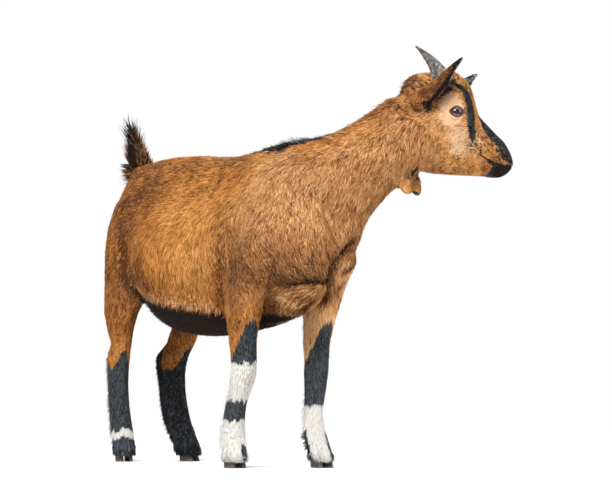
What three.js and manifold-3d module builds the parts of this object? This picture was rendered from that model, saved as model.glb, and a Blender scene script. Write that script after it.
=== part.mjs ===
// A young dwarf goat, standing on four feet with its head turned to its left.
// Millimetres. +X runs towards the goat's front, +Y to its left and +Z up; the floor is z = 0.
// The outline is that of the coat. Each named part is one closed solid, parted from its neighbours by a thin cut.
import * as THREE from "three";
import { mergeVertices } from "three/addons/utils/BufferGeometryUtils.js";
import Module from "manifold-3d";

const wasm = await Module();
wasm.setup();

const GAP = 0.35; // clearance between neighbouring solids
const TRUNK_RINGS = 21;
const TRUNK_SIDES = 28;
const NECK_RINGS = 11;
const NECK_SIDES = 22;
const HEAD_RINGS = 22;
const HEAD_SIDES = 24;
const LEG_RINGS = 16;
const LEG_SIDES = 12;

const RIGHT = -1;
const LEFT = 1;
const FACE_POSITION = new THREE.Vector3(340, 185, 501); // midway between the eyes
const HEAD_TURN = THREE.MathUtils.degToRad(43); // to the left of the trunk's axis
const HEAD_ROLL = THREE.MathUtils.degToRad(-8); // right side raised

// ---------- materials ----------

const hide = (color) => new THREE.MeshStandardMaterial({ color, roughness: 0.85, metalness: 0 });
const TAN = hide(0xb07a48);
const DARK_BROWN = hide(0x4a3526);
const BLACK_COAT = hide(0x2a2a2c);
const HORN = new THREE.MeshStandardMaterial({ color: 0x6e6a66, roughness: 0.6, metalness: 0 });
const HOOF = new THREE.MeshStandardMaterial({ color: 0x4b453e, roughness: 0.55, metalness: 0 });
const EYE = new THREE.MeshStandardMaterial({ color: 0x2b1710, roughness: 0.08, metalness: 0 });

// ---------- closed surfaces ----------

/** A closed surface through rings that hold the same number of points, with a flat fan at each end. */
function skinOf(rings) {
  const sides = rings[0].length;
  const positions = rings.flat().flatMap((p) => [p.x, p.y, p.z]);
  const middle = (ring) => ring.reduce((sum, p) => sum.add(p), new THREE.Vector3()).divideScalar(sides);
  const first = rings.length * sides;
  for (const ring of [rings[0], rings.at(-1)]) positions.push(...middle(ring).toArray());
  const index = [];
  for (let k = 0; k < sides; k++) {
    const next = (k + 1) % sides;
    for (let r = 0; r + 1 < rings.length; r++) {
      const [a, b] = [r * sides + k, r * sides + next];
      const [c, d] = [a + sides, b + sides];
      index.push(a, b, d, a, d, c);
    }
    const end = (rings.length - 1) * sides;
    index.push(first, next, k, first + 1, end + k, end + next);
  }
  return new THREE.BufferGeometry()
    .setAttribute("position", new THREE.Float32BufferAttribute(positions, 3))
    .setIndex(index);
}

/** A geometry as a manifold solid, with its faces turned outwards. */
function solid(geometry) {
  const bare = geometry.clone();
  bare.deleteAttribute("normal");
  bare.deleteAttribute("uv");
  const merged = mergeVertices(bare, 1e-3);
  const make = (triVerts) =>
    new wasm.Manifold(new wasm.Mesh({ numProp: 3, vertProperties: merged.attributes.position.array, triVerts }));
  const faces = new Uint32Array(merged.index.array);
  const made = make(faces);
  return made.volume() > 0 ? made : make(faces.reverse());
}

/** The solid's largest separate body as a geometry. */
function geometryOf(made) {
  const whole = made.decompose().sort((a, b) => b.volume() - a.volume())[0];
  const { numProp, vertProperties, triVerts } = whole.getMesh();
  const positions = [];
  for (let i = 0; i < vertProperties.length; i += numProp) positions.push(...vertProperties.slice(i, i + 3));
  return new THREE.BufferGeometry()
    .setAttribute("position", new THREE.Float32BufferAttribute(positions, 3))
    .setIndex([...triVerts]);
}

/** A named mesh with flat-shaded normals. */
function part(name, made, material) {
  const geometry = geometryOf(made).toNonIndexed();
  geometry.computeVertexNormals();
  const mesh = new THREE.Mesh(geometry, material);
  mesh.name = name;
  return mesh;
}

// ---------- lofts ----------
// A station is a cross-section between two opposite edge points, `over` and `under`. `half` holds its
// half-widths near the over edge, midway and near the under edge, measured along `side`.

const WIDTHS_AT = 0.6; // the outer two half-widths stand at this share of the way to the edge points
const SQUARENESS = 2.25; // 2 is an ellipse

/** Smooth values between stations, at t from 0 to 1. */
function between(lists, t) {
  return lists.map((points) => new THREE.CatmullRomCurve3(points, false, "catmullrom", 0.5).getPoint(t));
}

/** One ring of a station's rounded section, grown outwards by `grow`. */
function ringOf(over, under, half, side, sides, grow) {
  const centre = over.clone().add(under).multiplyScalar(0.5);
  const up = over.clone().sub(under).multiplyScalar(0.5);
  const tall = up.length() + grow;
  up.normalize();
  return Array.from({ length: sides }, (_, k) => {
    const angle = (2 * Math.PI * k) / sides;
    const power = 2 / SQUARENESS;
    const across = Math.sign(Math.cos(angle)) * Math.abs(Math.cos(angle)) ** power;
    const along = Math.sign(Math.sin(angle)) * Math.abs(Math.sin(angle)) ** power;
    const h = Math.sin((Math.PI / 2) * along) / Math.sin((Math.PI / 2) * WIDTHS_AT);
    const bend = (half.x + half.z) / 2 - half.y;
    const wide = half.y + ((half.x - half.z) / 2) * h + bend * h * h;
    return centre
      .clone()
      .addScaledVector(up, tall * along)
      .addScaledVector(side(centre), (Math.max(wide, 1) + grow) * across);
  });
}

/** A closed loft over stations, grown outwards all round its rings by `grow`. */
function loft(stations, side, rings, sides, grow = 0) {
  const lists = ["over", "under", "half"].map((key) => stations.map((s) => new THREE.Vector3(...s[key])));
  const made = [];
  for (let r = 0; r <= rings; r++) {
    const [over, under, half] = between(lists, r / rings);
    made.push(ringOf(over, under, half, side, sides, grow));
  }
  return solid(skinOf(made));
}

// ---------- trunk ----------

/** A station across the trunk: x, top and bottom heights, and half-widths high, midway and low. */
const slice = (x, top, bottom, high, mid, low) => ({
  over: [x, 0, top],
  under: [x, 0, bottom],
  half: [high, mid, low],
});

const TRUNK = [
  slice(-201, 398, 362, 10, 14, 10),
  slice(-195, 422, 320, 26, 34, 22),
  slice(-180, 435, 280, 40, 47, 30),
  slice(-155, 444, 240, 50, 56, 42),
  slice(-130, 448, 216, 56, 66, 54),
  slice(-100, 451, 202, 63, 85, 76),
  slice(-60, 452, 191, 70, 107, 97),
  slice(-10, 451, 186, 73, 115, 104),
  slice(40, 447, 189, 69, 109, 92),
  slice(80, 450, 194, 60, 98, 76),
  slice(115, 455, 198, 50, 88, 66),
  slice(148, 462, 202, 38, 80, 60),
  slice(178, 462, 208, 32, 74, 56),
  slice(207, 442, 216, 32, 68, 50),
  slice(234, 402, 230, 30, 56, 40),
  slice(253, 366, 254, 22, 40, 28),
  slice(262, 330, 286, 8, 16, 10),
];

const across = () => new THREE.Vector3(0, 1, 0);

const trunkSolid = (grow = 0) => loft(TRUNK, across, TRUNK_RINGS, TRUNK_SIDES, grow);

// ---------- neck ----------

/** A station of the neck about a point, facing `heading`, tilted by `pitch`, in degrees. */
function collar(at, heading, pitch, over, under, high, mid, low) {
  const [h, p] = [heading, pitch].map(THREE.MathUtils.degToRad);
  const up = new THREE.Vector3(-Math.cos(h) * Math.sin(p), -Math.sin(h) * Math.sin(p), Math.cos(p));
  const centre = new THREE.Vector3(...at);
  return {
    over: centre.clone().addScaledVector(up, over).toArray(),
    under: centre.clone().addScaledVector(up, -under).toArray(),
    half: [high, mid, low],
  };
}

const NECK = [
  collar([150, 0, 340], 8, 50, 100, 90, 30, 60, 50),
  collar([190, 20, 362], 25, 48, 104, 92, 28, 60, 48),
  collar([225, 46, 392], 38, 45, 99, 66, 28, 54, 44),
  collar([250, 74, 424], 42, 42, 67, 57, 32, 48, 42),
  collar([272, 98, 452], 43, 38, 54, 56, 34, 45, 40),
  collar([296, 127, 474], 43, 30, 62, 57, 34, 43, 38),
  collar([318, 150, 484], 43, 20, 54, 56, 30, 38, 34),
];

/** The neck's sideways direction, which turns from the trunk's to the head's along the bend. */
function neckSide(centre) {
  const turn = HEAD_TURN * THREE.MathUtils.smoothstep(centre.x, 150, 270);
  return new THREE.Vector3(-Math.sin(turn), Math.cos(turn), 0);
}
const neckSolid = (grow = 0) => loft(NECK, neckSide, NECK_RINGS, NECK_SIDES, grow);

// ---------- head, in its own frame: +X towards the nose, +Y left, +Z up ----------

/** A station of the head between a point of its upper profile and one of its lower profile. */
const profile = (over, under, high, mid, low) => ({
  over: [over[0], 0, over[1]],
  under: [under[0], 0, under[1]],
  half: [high, mid, low],
});

const HEAD = [
  profile([-92, 14], [-90, -14], 6, 10, 6),
  profile([-86, 38], [-86, -46], 26, 33, 26),
  profile([-70, 56], [-74, -72], 32, 41, 32),
  profile([-44, 60.5], [-58, -81], 35, 43, 32),
  profile([-18, 62], [-40, -83.5], 38, 44.5, 30),
  profile([2, 54], [-20, -85], 41, 45, 28),
  profile([15, 36], [0, -86], 39, 41, 24),
  profile([25, 1], [20, -87], 29, 34, 21),
  profile([37, -13], [34, -88], 20, 28, 19),
  profile([52, -29], [49, -90], 16.5, 23, 17),
  profile([65, -42], [60, -88], 15.5, 20, 14),
  profile([73, -57], [68, -82.5], 12, 15, 10),
  profile([75.5, -66], [73, -75], 4, 6, 4),
];

const headSolid = (grow = 0) => loft(HEAD, across, HEAD_RINGS, HEAD_SIDES, grow);

// ---------- head furniture ----------

const EYE_RADIUS = 12.5;
const EYE_PLACE = new THREE.Vector3(-3, 33, -3.5);

/** An eyeball on one side of the head. */
function eyeball(hand, grow = 0) {
  const ball = new THREE.SphereGeometry(EYE_RADIUS + grow, 12, 9);
  return solid(ball.translate(EYE_PLACE.x, hand * EYE_PLACE.y, EYE_PLACE.z));
}

const HORN_BASE = new THREE.Vector3(-14, 13, 36);
const HORN_TIP = new THREE.Vector3(-61, 39, 92.5);
const HORN_BOW = new THREE.Vector3(-31, 20, 69); // the horn's line bends back past here
const HORN_RADIUS = 13;
const HORN_TIP_RADIUS = 0.9;
const HORN_FLATNESS = 0.82; // its width over its depth
const HORN_SIDEWAYS = new THREE.Vector3(0.25, 1, 0).normalize();
const HORN_RINGS = 8;
const HORN_SIDES = 10;

/** A horn: a bowed, tapering cone that stands out of the forehead. */
function horn(hand, grow = 0) {
  const mirrored = [HORN_BASE, HORN_BOW, HORN_TIP].map((p) => new THREE.Vector3(p.x, hand * p.y, p.z));
  const line = new THREE.QuadraticBezierCurve3(...mirrored);
  const rings = Array.from({ length: HORN_RINGS }, (_, r) => {
    const t = r / (HORN_RINGS - 1);
    const radius = HORN_RADIUS * (1 - t) + HORN_TIP_RADIUS + grow;
    const along = line.getTangent(t);
    const fore = new THREE.Vector3().crossVectors(along, HORN_SIDEWAYS).normalize();
    const out = new THREE.Vector3().crossVectors(fore, along).normalize();
    return Array.from({ length: HORN_SIDES }, (_, k) => {
      const a = (2 * Math.PI * k) / HORN_SIDES;
      return line
        .getPoint(t)
        .addScaledVector(fore, radius * Math.cos(a))
        .addScaledVector(out, HORN_FLATNESS * radius * Math.sin(a));
    });
  });
  return solid(skinOf(rings));
}

const EAR_ROOT = new THREE.Vector3(-57, 36, 3);
const EAR_TIP = new THREE.Vector3(10, 66, 70.5);
const EAR_MOUTH = new THREE.Vector3(0.66, -0.42, -0.62); // the way the left ear opens
const EAR_HALF_WIDTH = 19;
const EAR_THICKNESS = 4.6;
const EAR_THINNING = 0.35; // share of the thickness lost at the tip
const EAR_ROLL = [2.5, 0.9]; // half-angle of the rolled shell, in radians, at the root and from three quarters up
const EAR_SET_BACK = [1.3, 0.4]; // shares of the half-width behind the line, at the root and from midway
const EAR_STATIONS = 11;
const EAR_ARC_POINTS = 7;

/** The ear's half-width at a share of its length: a leaf, fullest a third of the way up. */
const earOutline = (t) => EAR_HALF_WIDTH * (0.62 + 1.9 * t) * (1 - t ** 1.3) + 0.8;

/** An ear: a leaf-shaped shell, rolled to a tube at its root and open towards the face. */
function ear(hand) {
  const mirror = new THREE.Vector3(1, hand, 1);
  const [root, tip] = [EAR_ROOT.clone().multiply(mirror), EAR_TIP.clone().multiply(mirror)];
  const axis = tip.clone().sub(root).normalize();
  const mouth = EAR_MOUTH.clone().multiply(mirror);
  mouth.addScaledVector(axis, -mouth.dot(axis)).normalize();
  const wide = new THREE.Vector3().crossVectors(axis, mouth).normalize();
  const rings = Array.from({ length: EAR_STATIONS }, (_, r) => {
    const t = r / (EAR_STATIONS - 1);
    const half = earOutline(t);
    const roll = THREE.MathUtils.lerp(...EAR_ROLL, Math.min(1, t / 0.75));
    const radius = half / Math.sin(Math.min(roll, Math.PI / 2));
    const thick = EAR_THICKNESS * (1 - EAR_THINNING * t);
    const back = THREE.MathUtils.lerp(...EAR_SET_BACK, Math.min(1, 2 * t));
    const centre = root.clone().lerp(tip, t).addScaledVector(mouth, radius - half * back);
    const arc = (size, k) => {
      const a = roll * (1 - (2 * k) / (EAR_ARC_POINTS - 1));
      return centre
        .clone()
        .addScaledVector(mouth, -size * Math.cos(a))
        .addScaledVector(wide, size * Math.sin(a));
    };
    const outer = Array.from({ length: EAR_ARC_POINTS }, (_, k) => arc(radius, k));
    const inner = Array.from({ length: EAR_ARC_POINTS }, (_, k) => arc(radius - thick, EAR_ARC_POINTS - 1 - k));
    return [...outer, ...inner];
  });
  return solid(skinOf(rings));
}

// ---------- wattles: furry lobes that hang from the throat ----------

const WATTLES = {
  right: { root: [289, 108, 425], tip: [311, 114, 391], radius: 10 },
  left: { root: [284, 134, 431], tip: [297, 141, 390], radius: 8.5 },
};
const WATTLE_RINGS = 7;
const WATTLE_SIDES = 8;
const WATTLE_TILT = 0.35; // rise of its cross-sections towards the front

/** A wattle: a lobe that widens below its stalk and rounds off at its tip. */
function wattle({ root, tip, radius: broad }) {
  const [top, end] = [new THREE.Vector3(...root), new THREE.Vector3(...tip)];
  const rings = Array.from({ length: WATTLE_RINGS }, (_, r) => {
    const t = r / (WATTLE_RINGS - 1);
    const radius = broad * Math.sin(Math.PI * (0.25 + 0.68 * t)) ** 0.7;
    return Array.from({ length: WATTLE_SIDES }, (_, k) => {
      const a = (2 * Math.PI * k) / WATTLE_SIDES;
      const [x, y] = [radius * Math.cos(a), radius * Math.sin(a)];
      return top.clone().lerp(end, t).add(new THREE.Vector3(x, y, WATTLE_TILT * x));
    });
  });
  return solid(skinOf(rings));
}

// ---------- legs ----------

// A leg's form is a list of level sections: height, half-length fore and aft, and half-width. Its line gives
// the place of the leg's centre at a few heights, and `turn` the way the foot points, in degrees to the left.

const FORELEG_FORM = [
  [372, 36, 17], [335, 48, 24], [300, 50, 26], [262, 41, 25], [230, 33, 22], [187, 25, 19], [158, 20.5, 18],
  [125, 20.5, 18], [100, 16.8, 15.5], [76, 16.5, 15.5], [52, 19.5, 17.5], [31, 21, 18.5], [9, 19, 17],
];
const HINDLEG_FORM = [
  [408, 26, 14], [375, 48, 24], [335, 57, 28], [300, 57, 29], [257, 47, 26], [230, 32, 21], [202, 23, 17],
  [178, 24, 13.5], [152, 28, 16.5], [129, 23.5, 15.2], [105, 22, 15], [70, 22.5, 16], [46, 22, 16.8],
  [28, 21, 17.2], [9, 18, 16.5],
];

const LEGS = {
  front_right: {
    form: FORELEG_FORM,
    girth: 1.05,
    turn: -12,
    line: [
      [172, -38, 372], [182, -52, 335], [180, -62, 300], [165, -62, 262], [153, -58, 230], [140, -52, 185],
      [139, -49, 157], [132, -46, 123], [119, -47, 99], [113, -47, 77], [110, -48, 52], [114, -48, 32], [118, -49, 9],
    ],
  },
  front_left: {
    form: FORELEG_FORM,
    girth: 0.95,
    turn: -8,
    line: [
      [180, 38, 372], [194, 51, 335], [201, 62, 300], [178, 64, 262], [177, 61, 230], [171, 57, 187],
      [174, 54, 158], [175, 52, 123], [172, 52, 99], [168, 52, 77], [171, 52, 50], [179, 53, 31], [187, 54, 9],
    ],
  },
  hind_right: {
    form: HINDLEG_FORM,
    girth: 1,
    turn: -17,
    line: [
      [-139, -30, 408], [-130, -46, 375], [-129, -52, 335], [-133, -52, 300], [-142, -52, 257], [-160, -53, 230],
      [-168, -51, 200], [-171, -48, 178], [-184, -45, 153], [-186, -44, 129], [-187, -43, 105], [-185, -42, 70],
      [-180, -41, 46], [-176, -41, 28], [-173, -42, 9],
    ],
  },
  hind_left: {
    form: HINDLEG_FORM,
    girth: 1.04,
    turn: 15,
    line: [
      [-131, 30, 408], [-120, 46, 375], [-115, 52, 335], [-115, 52, 300], [-121, 51, 257], [-131, 51, 230],
      [-139, 49, 200], [-148, 46, 178], [-172, 43, 153], [-171, 42, 129], [-166, 41, 105], [-158, 40, 70],
      [-142, 39, 46], [-128, 38, 28], [-122, 41, 9],
    ],
  },
};
const TURN_FROM = 260; // the leg turns with its foot below this height
const TURN_FULL = 160;

/** The place of a line at a height, straight between its points. */
function at(line, z) {
  const below = line.findIndex((p) => p[2] <= z);
  const next = below < 0 ? line.length - 1 : Math.max(1, below);
  const [a, b] = [line[next - 1], line[next]];
  const share = THREE.MathUtils.clamp((a[2] - z) / (a[2] - b[2]), 0, 1);
  return new THREE.Vector3(...a).lerp(new THREE.Vector3(...b), share).setZ(z);
}

/** The forward direction of a leg at a height. */
function heading({ turn }, z) {
  const share = 1 - THREE.MathUtils.smoothstep(z, TURN_FULL, TURN_FROM);
  const angle = THREE.MathUtils.degToRad(turn) * share;
  return new THREE.Vector3(Math.cos(angle), Math.sin(angle), 0);
}

/** A leg from its root inside the trunk down to the coronet. */
function legSolid(leg) {
  const stations = leg.form.map(([z, reach, half]) => {
    const centre = at(leg.line, z);
    const girth = z > TURN_FROM ? 1 : leg.girth;
    const fore = heading(leg, z).multiplyScalar(reach * girth);
    return {
      over: centre.clone().add(fore).toArray(),
      under: centre.clone().sub(fore).toArray(),
      half: [0.93, 1, 0.88].map((share) => share * half * girth),
    };
  });
  const side = ({ z }) => heading(leg, z).applyAxisAngle(new THREE.Vector3(0, 0, 1), Math.PI / 2);
  return loft(stations, side, LEG_RINGS, LEG_SIDES);
}

// ---------- feet ----------

const CLAW_HEIGHT = 19;
const CLAW_LENGTH = 31;
const CLAW_WIDTH = 13.5;
const CLEFT = 3;
const CLAW_SIDES = 10;
const CLAW_LEVELS = [0, 0.08, 0.5, 1]; // shares of its height
const CLAW_SOLE_BEVEL = 0.6;
const CLAW_WALL_SLOPE = 5; // how far the front wall falls back over its height
const CLAW_NARROWING = 0.2; // share of its length lost at the coronet
const CLAW_TOE_TAPER = 0.42;
const CLAW_HEEL_TAPER = 0.12;
const HIND_HOOF_SIZE = 0.86;
const TOE_REACH = 1; // how far the claws stand before the leg's lowest point

/** One hoof claw: flat below, straight towards the cleft, rounded outside and pointed in front. */
function claw(side, size, grow = 0) {
  const rings = CLAW_LEVELS.map((t) => {
    const bevel = t === 0 ? CLAW_SOLE_BEVEL : 0;
    const length = (CLAW_LENGTH / 2) * (1 - CLAW_NARROWING * t) - bevel;
    const lean = TOE_REACH - CLAW_WALL_SLOPE * t;
    const rise = t === 1 ? grow : t === 0 ? -grow : 0;
    return Array.from({ length: CLAW_SIDES }, (_, k) => {
      const a = (2 * Math.PI * k) / CLAW_SIDES;
      const [forward, outward] = [Math.cos(a), Math.sin(a)];
      const taper = 1 - (forward > 0 ? CLAW_TOE_TAPER : CLAW_HEEL_TAPER) * forward ** 2;
      const wide = (CLAW_WIDTH / 2 - bevel) * taper * Math.sign(outward) * Math.abs(outward) ** 0.7;
      return new THREE.Vector3(
        (length * forward + lean) * size + grow * forward,
        side * ((CLEFT / 2 + CLAW_WIDTH / 2 + wide) * size + grow * outward),
        t * CLAW_HEIGHT * size + rise
      );
    });
  });
  return solid(skinOf(rings));
}

const DEWCLAW_HEIGHT = 39;
const DEWCLAW_BACK = 17;
const DEWCLAW_APART = 7;
const DEWCLAW_RADIUS = 4.4;
const DEWCLAW_LENGTH = 13;
const DEWCLAW_SIDES = 6;
const DEWCLAW_TILT = THREE.MathUtils.degToRad(-145); // from upright, over the back

/** One dewclaw: a small cone behind the fetlock that points down and back. */
function dewclaw(side, grow = 0) {
  const cone = new THREE.ConeGeometry(DEWCLAW_RADIUS + grow, DEWCLAW_LENGTH + 2 * grow, DEWCLAW_SIDES);
  cone.rotateX(Math.PI / 2).rotateY(DEWCLAW_TILT);
  return solid(cone.translate(-DEWCLAW_BACK, side * DEWCLAW_APART, DEWCLAW_HEIGHT));
}

/** Turns a part of a foot with its leg and moves it to the leg's centre line at height z. */
function placeOnLeg(made, leg, z) {
  const centre = at(leg.line, z).setZ(0);
  const turned = new THREE.Matrix4().makeRotationZ(THREE.MathUtils.degToRad(leg.turn));
  return made.transform(turned.setPosition(centre).elements);
}

// ---------- tail ----------

const TAIL = [
  { at: [-186, 424], wide: 15, deep: 18 },
  { at: [-196, 446], wide: 15, deep: 20 },
  { at: [-203, 466], wide: 14, deep: 19 },
  { at: [-210, 485], wide: 11, deep: 14 },
  { at: [-218, 502], wide: 6, deep: 8 },
  { at: [-224, 513], wide: 1.4, deep: 1.8 },
];

const TAIL_FRONT = new THREE.Vector3(0.92, 0, 0.38); // square to the leaning tail
const TAIL_RINGS = 9;
const TAIL_SIDES = 12;

/** The raised tail, out to the tips of its brush. */
function tailSolid() {
  const stations = TAIL.map(({ at: [x, z], wide, deep }) => ({
    over: new THREE.Vector3(x, 0, z).addScaledVector(TAIL_FRONT, deep).toArray(),
    under: new THREE.Vector3(x, 0, z).addScaledVector(TAIL_FRONT, -deep).toArray(),
    half: [0.9, 1, 0.9].map((share) => share * wide),
  }));
  return loft(stations, across, TAIL_RINGS, TAIL_SIDES);
}

// ---------- assembly ----------

const ORIGIN = new THREE.Vector3(90, 66, 0); // the point of the floor below the middle of the bounding box

const HEAD_POSE = new THREE.Matrix4().compose(
  FACE_POSITION,
  new THREE.Quaternion().setFromEuler(new THREE.Euler(HEAD_ROLL, 0, HEAD_TURN, "ZYX")),
  new THREE.Vector3(1, 1, 1)
);
const onHead = (made) => made.transform(HEAD_POSE.elements);

const stance = new THREE.Group();
stance.position.copy(ORIGIN).negate();
const [trunkRoom, neckRoom, headRoom] = [trunkSolid(GAP), neckSolid(GAP), onHead(headSolid(GAP))];

stance.add(part("trunk", trunkSolid(), TAN));
stance.add(part("neck", neckSolid().subtract(trunkRoom).subtract(headRoom), TAN));

let head = headSolid();
for (const [hand, name] of [[RIGHT, "right"], [LEFT, "left"]]) {
  head = head.subtract(eyeball(hand, GAP)).subtract(horn(hand, GAP));
  stance.add(part(`eye_${name}`, onHead(eyeball(hand)), EYE));
  stance.add(part(`horn_${name}`, onHead(horn(hand)), HORN));
  stance.add(part(`ear_${name}`, onHead(ear(hand)).subtract(headRoom).subtract(neckRoom), TAN));
  stance.add(part(`wattle_${name}`, wattle(WATTLES[name]).subtract(neckRoom).subtract(headRoom), TAN));
}
stance.add(part("head", onHead(head), TAN));

for (const [name, leg] of Object.entries(LEGS)) {
  let flesh = legSolid(leg).subtract(trunkRoom).subtract(neckRoom);
  const size = leg.form === HINDLEG_FORM ? HIND_HOOF_SIZE : 1;
  for (const [side, which] of [[RIGHT, "right"], [LEFT, "left"]]) {
    flesh = flesh.subtract(placeOnLeg(claw(side, size, GAP), leg, 0));
    flesh = flesh.subtract(placeOnLeg(dewclaw(side, GAP), leg, DEWCLAW_HEIGHT));
    stance.add(part(`hoof_${name}_${which}`, placeOnLeg(claw(side, size), leg, 0), HOOF));
    stance.add(part(`dewclaw_${name}_${which}`, placeOnLeg(dewclaw(side), leg, DEWCLAW_HEIGHT), HOOF));
  }
  stance.add(part(`leg_${name}`, flesh, BLACK_COAT));
}

stance.add(part("tail", tailSolid().subtract(trunkRoom), DARK_BROWN));

const goat = new THREE.Group();
goat.add(stance);
export default goat;
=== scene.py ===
"""The looks of a young dwarf goat that stands still with its head turned to its left.

One skin stands for all the nodes of flesh and lies inside them by the depth of the coat. The coat is mesh
tufts that follow the lie of the hair. Eyes, horns, hoof claws and dewclaws are pieces of their own.
Lengths are millimetres in the stance frame (the floor below the shoulder, +X forward, +Y to the goat's left,
+Z up), and are turned into the part's metres when a mesh is written.
"""

import logging
import math
from dataclasses import dataclass, field
from enum import Enum
from typing import Iterable

import bmesh
import bpy
import numpy as np
from mathutils import Matrix, Vector
from mathutils.bvhtree import BVHTree


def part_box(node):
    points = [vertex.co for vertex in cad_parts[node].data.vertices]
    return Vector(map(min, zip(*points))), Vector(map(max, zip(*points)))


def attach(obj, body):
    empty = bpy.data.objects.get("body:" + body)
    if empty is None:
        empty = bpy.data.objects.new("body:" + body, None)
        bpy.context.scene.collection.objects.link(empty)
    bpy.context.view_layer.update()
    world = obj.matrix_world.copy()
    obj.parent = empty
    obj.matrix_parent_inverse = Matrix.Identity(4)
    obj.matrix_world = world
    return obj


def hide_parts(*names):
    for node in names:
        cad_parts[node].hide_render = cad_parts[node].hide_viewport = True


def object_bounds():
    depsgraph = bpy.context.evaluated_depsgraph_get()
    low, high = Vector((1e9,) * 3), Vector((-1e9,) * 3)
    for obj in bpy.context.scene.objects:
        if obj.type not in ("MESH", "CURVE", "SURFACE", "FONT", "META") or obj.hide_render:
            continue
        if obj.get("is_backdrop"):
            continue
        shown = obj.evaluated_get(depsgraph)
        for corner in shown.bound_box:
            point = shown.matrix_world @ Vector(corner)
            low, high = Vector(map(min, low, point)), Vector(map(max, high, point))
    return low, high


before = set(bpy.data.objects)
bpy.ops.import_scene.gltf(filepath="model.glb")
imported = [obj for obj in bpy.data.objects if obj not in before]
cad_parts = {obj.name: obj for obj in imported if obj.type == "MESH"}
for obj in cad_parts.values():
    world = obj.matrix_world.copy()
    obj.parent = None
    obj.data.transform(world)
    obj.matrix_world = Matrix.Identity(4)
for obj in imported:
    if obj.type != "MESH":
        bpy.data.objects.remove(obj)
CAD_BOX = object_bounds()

Array = np.ndarray
Spot = tuple[float, float, float]
Fade = tuple[str, float, float]  # a named measure, where along it a smooth step starts, and where it ends
log = logging.getLogger("goat")

METRE = 1000.0  # millimetres
ORIGIN = np.array([90.0, 66.0, 0.0])  # the part's origin in the stance frame
SEED = 7
MERGE = 1e-5  # metres: corners of a solid that are closer than this are one

HANDS = {"right": -1, "left": 1}
# Each leg's turn to the left, in degrees.
LEGS = {"front_right": -12.0, "front_left": -8.0, "hind_right": -17.0, "hind_left": 15.0}
EARS = ("ear_right", "ear_left")
WATTLES = ("wattle_right", "wattle_left")
FLESH = ("trunk", "neck", "head", *EARS, *WATTLES, "tail") + tuple(f"leg_{name}" for name in LEGS)
CREST = np.array([  # the middle line of the back and the top of the neck, from the tail to the poll
    [-195, 0, 422], [-155, 0, 444], [-100, 0, 451], [-10, 0, 451], [80, 0, 450], [148, 0, 462],
    [170, 3, 462], [217, 44, 474], [248, 75, 495], [273, 106, 528], [284, 143, 556],
], float)
THROAT = np.array([  # the front line of the neck, from the chest to the jaw
    [262, 40, 290], [252, 49, 300], [262, 75, 345], [278, 100, 382], [297, 122, 408], [317, 146, 425],
], float)


# ---------- numbers and places ----------


def rise(value: Array, low: float, high: float) -> Array:
    """A smooth step from 0 at low to 1 at high, which may also be the lower of the two."""
    share = np.clip((np.asarray(value, float) - low) / (high - low), 0, 1)
    return share * share * (3 - 2 * share)


def bell(distance: Array, width: float) -> Array:
    """1 at no distance, falling away smoothly over the width."""
    return np.exp(-((distance / width) ** 2))


def mix(first: Array, second: Array, share: Array) -> Array:
    """Goes from first to second as share goes from 0 to 1."""
    return first + (second - first) * share


def towards(ways: Array, way: Iterable[float], share: Array) -> Array:
    """Turns each direction towards one way, by a share for each."""
    return mix(ways, np.array(way), share[:, None])


def faded(fades: Iterable[Fade], along: dict[str, Array]) -> Array:
    """The product of smooth steps, each along one of the named measures."""
    return np.prod([rise(along[key], low, high) for key, low, high in fades], axis=0)


def unit(vectors: Array) -> Array:
    """Vectors at length one."""
    return vectors / np.maximum(np.linalg.norm(vectors, axis=-1, keepdims=True), 1e-9)


def dots(first: Array, second: Array) -> Array:
    """Row by row dot products."""
    return np.einsum("ij,ij->i", first, np.broadcast_to(second, first.shape))


def from_spot(places: Array, spot: Iterable[float]) -> Array:
    """The distance of each place from a spot."""
    return np.linalg.norm(places - np.array(spot), axis=1)


def away(places: Array, line: Array) -> Array:
    """The distance of each place from a line of straight stretches."""
    best = np.full(len(places), np.inf)
    for start, end in zip(line[:-1], line[1:]):
        along = end - start
        share = np.clip((places - start) @ along / (along @ along), 0, 1)
        best = np.minimum(best, np.linalg.norm(places - start - share[:, None] * along, axis=1))
    return best


def to_stance(metres: Array) -> Array:
    """Places in the part's metres as stance millimetres."""
    return metres * METRE + ORIGIN


def to_part(places: Array) -> Array:
    """Stance millimetres as the part's metres."""
    return (places - ORIGIN) / METRE


def to_left(local: Array) -> Array:
    """Places in the head's frame, folded onto its left half."""
    return np.stack([local[:, 0], np.abs(local[:, 1]), local[:, 2]], 1)


def side_of(name: str) -> int:
    """The hand of a node such as ear_left or leg_front_right."""
    return HANDS[name.split("_")[-1]]


class Mottle:
    """Smooth noise from -1 to 1 that depends only on place."""

    CELLS = 32

    def __init__(self, seed: int) -> None:
        """Fills a block of cells with fixed random values."""
        self.values = np.random.default_rng(seed).uniform(-1, 1, (self.CELLS,) * 3)

    def at(self, places: Array, size: float) -> Array:
        """The noise at each place.

        Args:
            places: points, in mm.
            size: the width of one patch, in mm.

        Returns:
            One value from -1 to 1 for each point.
        """
        grid = places / size
        cell = np.floor(grid).astype(int)
        share = grid - cell
        share = share * share * (3 - 2 * share)
        found = np.zeros(len(places))
        for corner in np.ndindex(2, 2, 2):
            weight = np.prod(np.where(np.array(corner) == 1, share, 1 - share), axis=1)
            index = (cell + corner) % self.CELLS
            found += weight * self.values[index[:, 0], index[:, 1], index[:, 2]]
        return found

    def streaks(self, places: Array, way: Iterable[float], size: float) -> Array:
        """Noise drawn out along the hair's direction."""
        along = np.array(way) / np.linalg.norm(way)
        return self.at(places - (0.8 * (places @ along))[:, None] * along, size)

    def drift(self, places: Array, size: float, amount: float) -> Array:
        """A slow wander of the hair's direction from place to place."""
        return amount * np.stack([self.at(places + 90.0 * k, size) for k in (1, 2, 3)], 1)


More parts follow.
